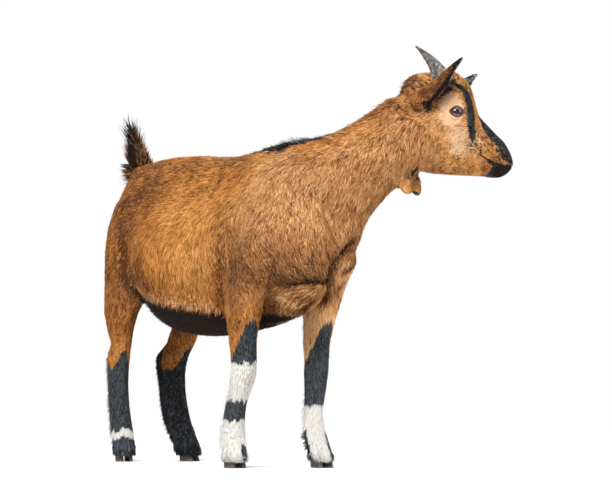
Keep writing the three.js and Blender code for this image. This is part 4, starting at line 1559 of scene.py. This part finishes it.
            # Lighter and paler at the top: its light tan, and painted light where the chest shades it.
            shade += mix(0.1, 0.85, rise(z, 240, 215)) * (1 - black) + 0.12 * black
            shade += 1.2 * self.waves(places) * rise(z, 200, 235)
            brown += 0.4 * rise(z, 180, 200) * (1 - black)
            pale = 0.5 * rise(z, 242, 215) * (1 - black)
        else:
            if leg == "hind_left":
                shade -= 0.26 + 0.2 * black
            elif leg == "hind_right":
                shade -= 0.40 * rise(z, 160, 215)
            else:
                shade -= 0.15 * rise(z, 180, 200) * (1 - black)
            side_shade, side_brown = self.side(places)
            high = rise(z, 225, 285)
            shade = mix(shade, side_shade, high)
            brown = mix(brown - 0.15 * rise(z, 240, 220), side_brown, high)
        grey = 0.35 * rise(frost, 0.25, 0.6) * rise(z, 34, 16) * black
        return black, np.maximum(white, grey), pale, shade, np.minimum(brown, 1)

    @staticmethod
    def white(leg: str, places: Array, fore: Array, outer: Array, height: Array) -> Array:
        """The white of one leg.

        Args:
            leg: the leg's name.
            places: points on it.
            fore: how far each lies before the leg's centre line.
            outer: how far it lies to the outer side.
            height: how high it lies, a little ragged.

        Returns:
            The white share, from 0 to 1.
        """
        z = places[:, 2]
        if leg == "front_right":
            band = rise(height, 153, 149) * rise(height, 93, 99)
            heel = rise(height, 153, 149) * rise(fore, 1, -5) * rise(z, 62, 70)
            foot = np.maximum(np.maximum(band, heel), rise(height, 71, 66))
            return foot * rise(away(places, DEW_SPOT) + rise(fore, 8, 2) * 20, 6, 9)
        if leg == "front_left":
            edge = 0.5 * fore + 0.87 * outer
            foot = rise(height, 90, 85) * np.maximum(rise(edge, -12, -9.5), rise(height, 48, 53))
            return foot * np.maximum(rise(edge, 13.5, 11), rise(height, 46, 52))
        if leg == "hind_right":
            under = height - np.interp(fore, [-15, 15], [38, 46])
            return rise(under, 3, 0) * rise(under, -11, -8)
        return 0.0 * z


# ---------- the coat ----------


class Tuft(Enum):
    """The two forms of tuft: an open blade that lies on the skin, and a closed spike that stands."""

    BLADE = "blade"
    SPIKE = "spike"


@dataclass(frozen=True)
class TuftForm:
    """One tuft's corners, between its root, its middle and its tip, and its faces."""

    rows: tuple[str, ...]  # what each corner is set out from
    aside: tuple[float, ...]  # how far each corner lies to the side, in half widths
    over: tuple[float, ...]  # how far it lies over its row, in widths
    painted_shade_along: tuple[float, ...]  # darker at the root as painted shade in the coat, lighter at the tip, against the strand
    flat: tuple[tuple[float, float], ...]  # its place in the tuft's patch of the flat map
    faces: tuple[tuple[int, int, int], ...]
    most: int  # tufts in one piece


FORMS = {
    Tuft.BLADE: TuftForm(
        rows=("root", "middle", "middle", "middle", "tip"),
        aside=(0, -1, 0, 1, 0),
        over=(0, 0, 0.30, 0, 0),
        painted_shade_along=(-0.30, -0.03, 0.06, -0.03, 0.20),
        flat=((0, -0.5), (-0.5, -0.1), (0, -0.1), (0.5, -0.1), (0, 0.5)),
        faces=((0, 3, 2), (0, 2, 1), (3, 4, 2), (2, 4, 1)),
        most=48_500,
    ),
    Tuft.SPIKE: TuftForm(
        rows=("root", "root", "root", "middle", "middle", "middle", "tip"),
        aside=(-0.8, 0, 0.8, -1, 0, 1, 0),
        over=(0, 0.5, 0, 0, 0.5, 0, 0),
        painted_shade_along=(-0.25, -0.25, -0.25, 0, 0.05, 0, 0.18),
        flat=((-0.35, -0.5), (0, -0.4), (0.35, -0.5), (-0.5, 0), (0, 0), (0.5, 0), (0, 0.5)),
        faces=(
            (0, 1, 4), (0, 4, 3), (1, 2, 5), (1, 5, 4), (3, 4, 6), (4, 5, 6), (2, 0, 3), (2, 3, 5), (5, 3, 6),
            (0, 2, 1),
        ),
        most=19_500,
    ),
}


@dataclass
class Tufts:
    """Rows of tufts before they are written as a mesh."""

    root: Array
    middle: Array
    tip: Array
    side: Array
    up: Array
    width: Array
    marks: Array
    strand: Array
    spot: Array  # the root's place on the skin's flat map
    region: Array

    def __getitem__(self, kept: Array) -> "Tufts":
        """Some of the tufts."""
        return Tufts(*(getattr(self, key)[kept] for key in self.__dataclass_fields__))


class Coat:
    """The fur: mesh tufts over the skin."""

    PATCH = 0.003  # the width of a tuft's patch on the flat map
    GAP = 0.8  # how clear of eyes, horns and claws the roots stay
    LOWEST = 7.0  # standing hair stays above this height

    def __init__(self, skin: Skin, dress: bpy.types.Material) -> None:
        """Reads the skin.

        Args:
            skin: the finished skin.
            dress: the material of skin and coat.
        """
        self.skin, self.dress = skin, dress
        legs = Legs(skin)
        self.comb, self.markings = Comb(legs), Markings(legs)
        mesh = skin.piece.data
        self.places, self.normals = Sheet.points(mesh), Sheet.normals(mesh)
        mesh.calc_loop_triangles()
        self.faces = Sheet.read(mesh.loop_triangles, "vertices", 3, np.int32)
        loops = Sheet.read(mesh.loop_triangles, "loops", 3, np.int32)
        self.flat = Sheet.read(mesh.uv_layers["OFBake"].uv, "vector", 2)[loops]
        self.tree = BVHTree.FromPolygons(self.places.tolist(), self.faces.tolist())
        solids = Skin.copied([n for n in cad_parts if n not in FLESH], 0.0)
        polygons = [list(p.vertices) for p in solids.data.polygons]
        self.hard = BVHTree.FromPolygons(Sheet.points(solids.data).tolist(), polygons)
        bpy.data.objects.remove(solids)
        corner = self.places[self.faces]
        across = np.cross(corner[:, 1] - corner[:, 0], corner[:, 2] - corner[:, 0])
        self.area = np.linalg.norm(across, axis=1) / 2
        middle = unit(self.normals[self.faces].mean(1))
        self.patches = Roots(corner.mean(1), middle, skin.region[self.faces[:, 0]], self.flat.mean(1))

    def dress_skin(self) -> None:
        """Gives the skin the coat's markings, bare at the lids, lips and nose."""
        mesh, places = self.skin.piece.data, self.places
        no_spots = np.zeros((len(places), 2))
        marks, shade, brown = self.markings.paint(Roots(places, self.normals, self.skin.region, no_spots))
        bare = self.bareness(places) * self.skin.is_in("head")
        tear = rise(away(to_left(HEAD.local(places)), TEAR), 4.5, 1.5)
        marks[:, 2] = np.maximum(marks[:, 2] - brown * (marks[:, 2] < 0.2), tear)
        own = np.random.default_rng(SEED + 1).uniform(0.15, 0.5, len(places))
        Sheet.paint(mesh, "marks", marks)
        Sheet.paint(mesh, "strand", np.stack([own, shade - 0.22, np.maximum(bare, 0.8 * tear)], 1))

    @staticmethod
    def bareness(places: Array) -> Array:
        """The share of bare skin at each place: lid rims, lips, nostrils and the nose between them."""
        local = HEAD.local(places)
        folded = to_left(local)
        x, y, z = folded.T
        rim = np.min([np.abs(eye.polar(local)[1] - 0.2) for eye in EYES.values()], axis=0)
        return np.max([
            rise(rim, 1.2, 0.6) * (from_spot(folded, (0, 42, -2)) < 24),
            rise(away_across(places, MOUTH), 1.9, 0.9),
            rise(away_across(places, NOSTRIL), 3.6, 2.6),
            rise(x, 66.5, 69.5) * rise(z, -68, -65.5) * rise(y, 13, 10),
            rise(y, 3.0, 1.6) * rise(x, 62, 66) * (z > lips_at(x) - 1),
        ], axis=0)

    def strewn(self, density: Array, rng: np.random.Generator) -> Roots:
        """Strews roots over the skin.

        Args:
            density: the mean number of roots for each square millimetre of each face.
            rng: the random numbers.

        Returns:
            The roots, clear of eyes, horns, claws and bare skin.
        """
        number = np.floor(self.area * density + rng.random(len(density))).astype(int)
        face = np.repeat(np.arange(len(density)), number)
        a, b = rng.random((2, len(face)))
        fold = a + b > 1
        a, b = np.where(fold, 1 - a, a), np.where(fold, 1 - b, b)
        share = np.stack([1 - a - b, a, b], 1)[:, :, None]
        corners = self.faces[face]
        place = (self.places[corners] * share).sum(1)
        normal = unit((self.normals[corners] * share).sum(1))
        roots = Roots(place, normal, self.patches.region[face], (self.flat[face] * share).sum(1))
        bare = (roots.region == FLESH.index("head")) & (self.bareness(place) > 0.35)
        return roots[self.clear_of_hard(place) & ~bare]

    def clear_of_hard(self, places: Array) -> Array:
        """Whether each place is clear of eyes, horns and claws."""
        near = np.zeros(len(places), bool)
        for low, high in (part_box(n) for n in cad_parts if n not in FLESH):
            low, high = to_stance(np.array(low)) - self.GAP, to_stance(np.array(high)) + self.GAP
            near |= ((places > low) & (places < high)).all(1)
        clear = np.ones(len(places), bool)
        for i in np.flatnonzero(near):
            spot, normal, _, distance = self.hard.find_nearest(Vector(places[i]))
            inside = (Vector(places[i]) - spot).dot(normal) < 0
            clear[i] = not inside and distance > self.GAP
        return clear

    def press(self, places: Array, height: Array) -> Array:
        """Puts each place at a height over the nearest point of the skin."""
        found = np.empty_like(places)
        for i, place in enumerate(places.tolist()):
            spot, normal, _, _ = self.tree.find_nearest(place)
            over = height[i]
            found[i] = (spot.x + normal.x * over, spot.y + normal.y * over, spot.z + normal.z * over)
        return found

    def coloured(self, roots: Roots, rng: np.random.Generator) -> tuple[Array, Array]:
        """The markings and the strand's own shade at each root: most near the middle, some dark or light."""
        marks, shade, brown = self.markings.paint(roots)
        count = len(roots)
        own = rng.normal(0.48, 0.27, count)
        kind = rng.random(count)
        own += np.where(kind < 0.16, -0.46, 0) + np.where(kind > 0.90, 0.36, 0)
        marks[:, 2] -= brown * (marks[:, 2] < 0.2)
        return marks, np.stack([own, shade, np.zeros(count)], 1)

    def lying(self, rng: np.random.Generator) -> Tufts:
        """Blades all over the body, along the lie of the coat."""
        roots = self.strewn(self.comb.lying(self.patches).density, rng)
        lie = self.comb.lying(roots)
        count = len(roots)
        place, normal = roots.place, roots.normal
        flow = unit(lie.flow) + rng.normal(0, 0.11, (count, 3))
        flow = unit(flow - normal * dots(flow, normal)[:, None])
        across = np.cross(flow, normal)
        length = lie.length * rng.uniform(0.6, 1.2, count)
        bend = lie.curl * length * rng.normal(0, 0.7, count)
        middle = place + flow * (length * 0.42)[:, None] + across * (bend * 0.5)[:, None]
        tip = place + flow * length[:, None] + across * bend[:, None]
        stray = rng.random(count) ** 6
        middle = self.press(middle, lie.lift * rng.uniform(0.40, 0.85, count))
        tip = self.press(tip, lie.lift * (rng.uniform(0.50, 1.0, count) + 0.55 * stray))
        seen = place + flow * (length * 0.55)[:, None]
        marks, strand = self.coloured(Roots(seen, normal, roots.region, roots.spot), rng)
        width = lie.width * rng.uniform(0.65, 1.35, count)
        side = unit(np.cross(tip - place, normal))
        root = place - normal * 0.5
        return Tufts(root, middle, tip, side, normal, width, marks, strand, roots.spot, roots.region)

    def standing(self, rng: np.random.Generator) -> Tufts:
        """Spikes where the hair stands off the body."""
        roots = self.strewn(self.comb.standing(self.patches).density, rng)
        lie = self.comb.standing(roots)
        count = len(roots)
        place, normal = roots.place, roots.normal
        flow = unit(lie.flow)
        flow = unit(flow - normal * np.minimum(dots(flow, normal), 0)[:, None])
        angle = np.radians(lie.lift * rng.uniform(0.6, 1.3, count))
        way = flow * np.cos(angle)[:, None] + normal * np.sin(angle)[:, None]
        way = unit(way + rng.normal(0, 0.13, (count, 3)))
        side = unit(np.cross(way, normal) + rng.normal(0, 0.15, (count, 3)))
        length = lie.length * rng.uniform(0.55, 1.15, count)
        bend = lie.curl * length * rng.normal(0, 0.7, count)
        middle = place + way * (length * 0.5)[:, None] + side * (bend * 0.15)[:, None]
        tip = middle + unit(way + 0.35 * flow) * (length * 0.5)[:, None] + side * bend[:, None]
        for spot, thickness in ((middle, 0.6), (tip, 0.3)):
            spot[:, 2] = np.maximum(spot[:, 2], self.LOWEST + thickness)
        marks, strand = self.coloured(roots, rng)
        width = lie.width * rng.uniform(0.7, 1.25, count)
        side = unit(np.cross(tip - place, normal) + 1e-4)
        up = unit(np.cross(side, tip - place))
        root = place - normal * 1.0
        return Tufts(root, middle, tip, side, up, width, marks, strand, roots.spot, roots.region)

    def write(self, name: str, tufts: Tufts, plan: TuftForm) -> bpy.types.Object:
        """One coat piece.

        Args:
            name: the piece's name.
            tufts: its tufts.
            plan: their form.

        Returns:
            The piece's object.
        """
        corners = []
        for row, aside, over in zip(plan.rows, plan.aside, plan.over):
            sideways = tufts.side * (aside * tufts.width / 2)[:, None]
            corners.append(getattr(tufts, row) + sideways + tufts.up * (over * tufts.width)[:, None])
        count, size = len(tufts.root), len(plan.rows)
        index = (np.arange(count) * size)[:, None, None] + np.array(plan.faces)
        piece = Sheet.write(name, np.stack(corners, 1).reshape(-1, 3), index.reshape(-1, 3))
        mesh = piece.data
        strand = np.repeat(tufts.strand, size, 0)
        strand[:, 0] += np.tile(plan.painted_shade_along, count)
        Sheet.paint(mesh, "marks", np.repeat(tufts.marks, size, 0))
        Sheet.paint(mesh, "strand", strand)
        spot = np.clip(tufts.spot, self.PATCH, 1 - self.PATCH)
        flat = (spot[:, None, :] + np.array(plan.flat) * self.PATCH).reshape(-1, 2)
        layer = mesh.uv_layers.new(name="OFBake")
        layer.uv.foreach_set("vector", flat[index.reshape(-1)].astype(np.float32).ravel())
        mesh.materials.append(self.dress)
        return piece

    def build(self) -> list[bpy.types.Object]:
        """Makes every coat piece.

        Returns:
            The pieces.
        """
        rng = np.random.default_rng(SEED)
        made = []
        for form, tufts in ((Tuft.BLADE, self.lying(rng)), (Tuft.SPIKE, self.standing(rng))):
            log.info("%s tufts: %d", form.value, len(tufts.root))
            for name, mine in self.groups(tufts, form).items():
                made.append(self.write(name, tufts[mine], FORMS[form]))
        return made

    @staticmethod
    def groups(tufts: Tufts, form: Tuft) -> dict[str, Array]:
        """Which tufts go in which piece.

        Args:
            tufts: all tufts of one form.
            form: that form.

        Returns:
            The numbers of each piece's tufts, with no piece over the form's limit.
        """
        kind = np.array(KINDS)[tufts.region]
        leg, neck, trunk = kind == "leg", kind == "neck", np.isin(kind, ("trunk", "tail"))
        fronts = np.isin(tufts.region, [FLESH.index("leg_front_right"), FLESH.index("leg_front_left")])
        right = tufts.root[:, 1] < 0
        if form is Tuft.SPIKE:
            plan = {"legs_fringe": leg, "body_fringe": ~leg}
        else:
            plan = {
                "head_coat": ~(leg | neck | trunk),
                "neck_coat": neck,
                "front_legs_coat": leg & fronts,
                "hind_legs_coat": leg & ~fronts,
                "right_side_coat": trunk & right,
                "left_side_coat": trunk & ~right,
            }
        found: dict[str, Array] = {}
        for name, mine in plan.items():
            index = np.flatnonzero(mine)
            index = index[np.argsort(tufts.root[index, 0], kind="stable")]
            pieces = max(1, math.ceil(len(index) / FORMS[form].most))
            for number, share in enumerate(np.array_split(index, pieces)):
                found[name if pieces == 1 else f"{name}_{number + 1}"] = share
        return found


# ---------- eyes, horns and claws ----------


@dataclass(frozen=True)
class EyeFinish:
    """A moist brown eye with a dark, level pupil."""

    iris: Colour = (0.165, 0.050, 0.016)
    iris_dark: Colour = (0.045, 0.016, 0.007)
    pupil: Colour = (0.004, 0.006, 0.016)
    white: Colour = (0.03, 0.018, 0.013)

    def build(self, name: str) -> bpy.types.Material:
        """Makes the material of one eye, which reads the attribute `gaze`."""
        wet = {"coat_weight": 0.9, "coat_ior": 1.7, "coat_roughness": 0.02}
        finish = Finish(f"eye_{name}", roughness=0.35, specular_ior_level=0.1, **wet)
        along, across, _ = finish.parts("gaze")
        radius = (along * along + across * across).math("SQRT")
        wide, tall = (along * 0.165).math("ABSOLUTE"), (across * 0.31).math("ABSOLUTE")
        slot = wide * wide * wide + tall * tall * tall
        fibre = finish.noise(1500.0)
        colour = finish.colours(self.iris, self.iris_dark, (radius * 0.13 + fibre * 0.5).step(0.7, 1.5))
        colour = finish.colours(colour, self.pupil, slot.step(1.15, 0.85))
        finish.wear("Base Color", finish.colours(colour, self.white, radius.step(9.4, 10.2)))
        return finish.material


@dataclass(frozen=True)
class HornFinish:
    """Grey ringed horn, lighter and mottled at its base."""

    dark: Colour = (0.050, 0.046, 0.043)
    grey: Colour = (0.20, 0.187, 0.175)
    pale: Colour = (0.36, 0.33, 0.295)

    def build(self) -> bpy.types.Material:
        """Makes the material, which reads the share of the length from the attribute `grain`."""
        finish = Finish("horn", specular_ior_level=0.45)
        along, _, ridge = finish.parts("grain")
        streak = finish.noise(190.0, 4.0)
        grey = (streak * 1.6 + ridge * 0.10 - along * 0.25).step(0.35, 1.0)
        colour = finish.colours(self.dark, self.grey, grey)
        base = (0.62 - along + (streak - 0.5) * 2.0).step(0.15, 0.5)
        finish.wear("Base Color", finish.colours(colour, self.pale, base))
        finish.wear("Roughness", 0.34 + streak * 0.3)
        finish.bump(finish.noise(1400.0, 3.0), 0.0004, 0.5)
        return finish.material


@dataclass(frozen=True)
class HoofFinish:
    """Dark hoof horn with level growth lines, amber at the sole's edge."""

    dark: Colour = (0.022, 0.020, 0.020)
    grey: Colour = (0.085, 0.078, 0.070)
    amber: Colour = (0.33, 0.20, 0.09)

    def build(self) -> bpy.types.Material:
        """Makes the material, which reads the height share and the lines from the attribute `grain`."""
        finish = Finish("hoof", specular_ior_level=0.4)
        height, _, ridge = finish.parts("grain")
        streak = finish.noise(320.0, 4.0)
        colour = finish.colours(self.dark, self.grey, (streak * 0.8 + ridge * 0.4).step(0.35, 0.95))
        sole = (0.20 - height + (streak - 0.5) * 0.35).step(0.0, 0.2)
        finish.wear("Base Color", finish.colours(colour, self.amber, sole * 0.35))
        finish.wear("Roughness", 0.42 + streak * 0.3)
        finish.bump(finish.noise(1100.0, 3.0), 0.0004, 0.5)
        return finish.material


def settle(piece: bpy.types.Object, slot: str, *nodes: str) -> None:
    """Makes the piece ride on the body and stand for its nodes."""
    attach(piece, "root")
    if nodes:
        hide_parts(*nodes)
    log.info("%s: %d faces", piece.name, len(piece.data.polygons))


@dataclass
class Eyeballs:
    """Both eyes, with a bulging cornea."""

    segments: int = 64
    rings: int = 40
    bulge: float = 1.0
    cornea: float = 8.6
    tilt: float = -4.0  # degrees from the lids' slant, which keeps the pupil nearly level
    fore: float = 1.8  # how far before the ball's middle the pupil sits
    behind: float = 20.0  # stands for "no iris" on the back of the ball

    def build(self) -> None:
        """Makes the eyes."""
        for name, eye in EYES.items():
            bpy.ops.mesh.primitive_uv_sphere_add(
                segments=self.segments, ring_count=self.rings, radius=eye.radius / METRE,
                location=to_part(HEAD.stance(eye.centre[None]))[0],
            )
            piece = bpy.context.object
            piece.name = piece.data.name = f"eyeball_{name}"
            bpy.ops.object.transform_apply(location=True, rotation=True, scale=True)
            local = HEAD.local(Sheet.points(piece.data)) - eye.centre
            out, fore, up = eye.axes
            along, across, forward = local @ fore, local @ up, local @ out
            bulge = rise(np.hypot(along, across), self.cornea, self.cornea * 0.35)
            raised = self.bulge * bulge * (forward > 0)
            Sheet.move(piece.data, HEAD.stance(local + unit(local) * raised[:, None] + eye.centre))
            level = math.radians(eye.slant + self.tilt)
            turned = along * math.cos(level) + across * math.sin(level) - self.fore
            upright = across * math.cos(level) - along * math.sin(level)
            gaze = [np.where(forward > 0, turned, self.behind), upright, forward]
            Sheet.paint(piece.data, "gaze", np.stack(gaze, 1))
            bpy.ops.object.shade_smooth()
            piece.data.materials.append(EyeFinish().build(name))
            settle(piece, "eye", f"eye_{name}")


@dataclass
class Horns:
    """Both horns: bowed, tapering and ringed."""

    base: Spot = (-20.5, 13, 36)
    bow: Spot = (-28.5, 20, 69)
    tip: Spot = (-61, 39, 92.5)
    radius: float = 15.8
    tip_radius: float = 1.0
    flatness: float = 0.82
    levels: int = 90
    sides: int = 40
    ridges: int = 15

    def build(self) -> None:
        """Makes the horns."""
        dress = HornFinish().build()
        angle = np.linspace(0, 2 * math.pi, self.sides, endpoint=False)
        keel = 1 + 0.10 * np.cos(angle) ** 8 * (np.cos(angle) > 0)
        for name, hand in HANDS.items():
            base, bow, tip = (np.array(p) * [1, hand, 1] for p in (self.base, self.bow, self.tip))
            rings, grain = [], []
            for share in np.linspace(0, 1, self.levels):
                middle = base * (1 - share) ** 2 + bow * 2 * share * (1 - share) + tip * share**2
                along = unit((bow - base) * (1 - share) + (tip - bow) * share)
                fore = unit(np.cross(along, unit(np.array([0.25, 1, 0]))))
                wave = math.sin(2 * math.pi * self.ridges * share**0.85 + 1.4 * math.sin(9 * share))
                ridge = max(0.0, wave) ** 0.7
                size = self.radius * (1 - share) + self.tip_radius
                size *= 1 + (0.014 + 0.007 * math.sin(23 * share)) * ridge * (1 - share)
                wide = size * keel * (1 + 0.012 * np.sin(5 * angle + 7 * share) + 0.008 * np.sin(11 * angle))
                out = self.flatness * np.sin(angle)[:, None] * np.cross(fore, along)
                rings.append(HEAD.stance(middle + wide[:, None] * (np.cos(angle)[:, None] * fore + out)))
                grain.append(np.stack([np.full(self.sides, share), angle, np.full(self.sides, ridge)], 1))
            piece = Sheet.loft(f"horn_shell_{name}", np.array(rings))
            ends = np.array([[0, 0, 0], [1, 0, 0]])
            Sheet.paint(piece.data, "grain", np.concatenate([*grain, ends]))
            piece.data.materials.append(dress)
            settle(piece, "horn", f"horn_{name}")


@dataclass
class Claws:
    """The eight claws and eight dewclaws, on the solids' own forms."""

    voxel: float = 0.55
    smoothing: int = 14
    lines: int = 7
    line_height: float = 0.22

    def build(self) -> None:
        """Makes the claws and dewclaws."""
        dress = HoofFinish().build()
        for name in [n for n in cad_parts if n.startswith(("hoof_", "dewclaw_"))]:
            self.rounded(name, dress, name.startswith("hoof_"))

    def rounded(self, node: str, dress: bpy.types.Material, is_claw: bool) -> None:
        """A rounded, finely divided copy of a claw's solid, with growth lines.

        Args:
            node: the CAD node.
            dress: its material.
            is_claw: a claw keeps its flat sole on the floor.
        """
        piece = Skin.copied([node], 0.0)
        piece.name = piece.data.name = node.replace("hoof_", "claw_").replace("dewclaw_", "spur_")
        Sheet.remesh(piece, self.voxel)
        mesh = piece.data
        places = Sheet.points(mesh)
        floor = places[:, 2].min()
        weight = 0.15 + 0.75 * rise(places[:, 2] - floor, 0.6, 2.5) if is_claw else 0.9
        smooth = Sheet.relax(places, Sheet.edges(mesh), self.smoothing, weight)
        if is_claw:
            smooth[:, 2] = np.where(places[:, 2] < floor + 0.5, floor, smooth[:, 2])
        Sheet.move(mesh, smooth)
        normals = Sheet.normals(mesh)
        height = (smooth[:, 2] - floor) / max(np.ptp(smooth[:, 2]), 1e-6)
        ridge = 0.5 + 0.5 * np.sin(2 * math.pi * self.lines * height)
        wall = rise(height, 0.04, 0.16) * (1 - np.abs(normals[:, 2])) if is_claw else 1 - height
        Sheet.move(mesh, smooth + normals * (self.line_height * (ridge - 0.5) * wall)[:, None])
        Sheet.paint(mesh, "grain", np.stack([height, 0 * height, ridge], 1))
        bpy.ops.object.shade_smooth()
        mesh.materials.clear()
        mesh.materials.append(dress)
        settle(piece, "hoof", node)


# ---------- the stage ----------


def face(thing: bpy.types.Object, place: Iterable[float], look: Vector) -> None:
    """Puts a camera or a light at a place and turns it to look one way."""
    thing.location = place
    thing.rotation_mode = "QUATERNION"
    thing.rotation_quaternion = look.to_track_quat("-Z", "Y")


@dataclass(frozen=True)
class Lamp:
    """A square soft light that faces the goat. Sizes are metres and watts."""

    name: str
    place: Spot
    size: float
    power: float

    def build(self) -> None:
        """Makes the light."""
        made = bpy.data.lights.new(self.name, "AREA")
        made.shape, made.size, made.energy = "SQUARE", self.size, self.power
        face(Sheet.new(self.name, made), self.place, Vector((0, 0, 0.3)) - Vector(self.place))


@dataclass(frozen=True)
class Studio:
    """A pale floor, soft lights and the camera."""

    azimuth: float = 53.0
    distance: float = 5500.0
    height: float = 225.0
    middle: tuple[float, float] = (108.0, 85.0)  # what the camera looks at
    pitch: float = 0.9586  # degrees upwards
    lens: float = 223.2
    sensor: float = 36.0
    floor_radius: float = 2.2  # metres
    fade: tuple[float, float] = (1.9, 0.7)  # where the floor is gone, and where it is whole
    grey: float = 0.88
    sky: float = 0.44  # how brightly the white backdrop lights the goat
    lamps: tuple[Lamp, ...] = (
        Lamp("key", (0.9, -2.4, 2.9), 1.3, 100.0),
        Lamp("catch", (1.66, -1.56, 2.54), 0.55, 30.0),
        Lamp("fill", (2.4, 1.9, 1.8), 2.2, 46.0),
        Lamp("rear", (-2.2, 1.4, 2.6), 2.0, 60.0),
        Lamp("top", (0.0, 0.0, 3.2), 2.0, 40.0),
    )

    def build(self) -> None:
        """Makes the stage."""
        self.camera()
        self.floor()
        for lamp in self.lamps:
            lamp.build()
        self.world()
        bpy.context.scene.view_settings.view_transform = "Standard"

    def camera(self) -> None:
        """The camera: far off, low, and looking very slightly up."""
        turn, tilt = math.radians(self.azimuth), math.radians(self.pitch)
        ahead = np.array([-math.sin(turn), math.cos(turn), 0])
        made = bpy.data.cameras.new("camera")
        made.lens, made.sensor_width = self.lens, self.sensor
        made.clip_start, made.clip_end = 0.1, 100.0
        camera = Sheet.new("camera", made)
        look = Vector((ahead[0] * math.cos(tilt), ahead[1] * math.cos(tilt), math.sin(tilt)))
        face(camera, to_part(np.array([*self.middle, self.height]) - ahead * self.distance), look)
        bpy.context.scene.camera = camera

    def floor(self) -> None:
        """A pale floor that fades out into the backdrop."""
        size = {"vertices": 96, "radius": self.floor_radius}
        bpy.ops.mesh.primitive_circle_add(fill_type="NGON", location=(0, 0, 0), **size)
        floor = bpy.context.object
        floor.name = "floor"
        finish = Finish("floor", roughness=0.9, base_color=(self.grey,) * 3, specular_ior_level=0.1)
        from_middle = finish.node("ShaderNodeVectorMath", {"operation": "LENGTH"}, {0: finish.place()}, 1)
        finish.wear("Alpha", from_middle.step(*self.fade))
        floor.data.materials.append(finish.material)
        floor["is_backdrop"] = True

    def world(self) -> None:
        """A white backdrop that lights the goat softly."""
        world = bpy.data.worlds.new("studio")
        world.use_nodes = True
        nodes, links = world.node_tree.nodes, world.node_tree.links
        seen, background = nodes.new("ShaderNodeLightPath"), nodes["Background"]
        lit, scale = nodes.new("ShaderNodeMath"), nodes.new("ShaderNodeMath")
        scale.operation = "MULTIPLY"
        scale.inputs[1].default_value = 1 - self.sky
        lit.inputs[1].default_value = self.sky
        links.new(seen.outputs["Is Camera Ray"], scale.inputs[0])
        links.new(scale.outputs[0], lit.inputs[0])
        links.new(lit.outputs[0], background.inputs["Strength"])
        background.inputs["Color"].default_value = (1, 1, 1, 1)
        bpy.context.scene.world = world


def main() -> None:
    """Builds the goat and its stage."""
    logging.basicConfig(level=logging.INFO, format="%(name)s: %(message)s")
    Studio().build()
    dress = CoatFinish().build()
    skin = Skin()
    piece = skin.build(dress)
    coat = Coat(skin, dress)
    coat.dress_skin()
    settle(piece, "coat", *FLESH)
    for made in coat.build():
        settle(made, "coat")
    Eyeballs().build()
    Horns().build()
    Claws().build()
    {"cad": [list(c) for c in CAD_BOX], "visual": [list(c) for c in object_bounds()]}


if __name__ == "__main__":
    main()
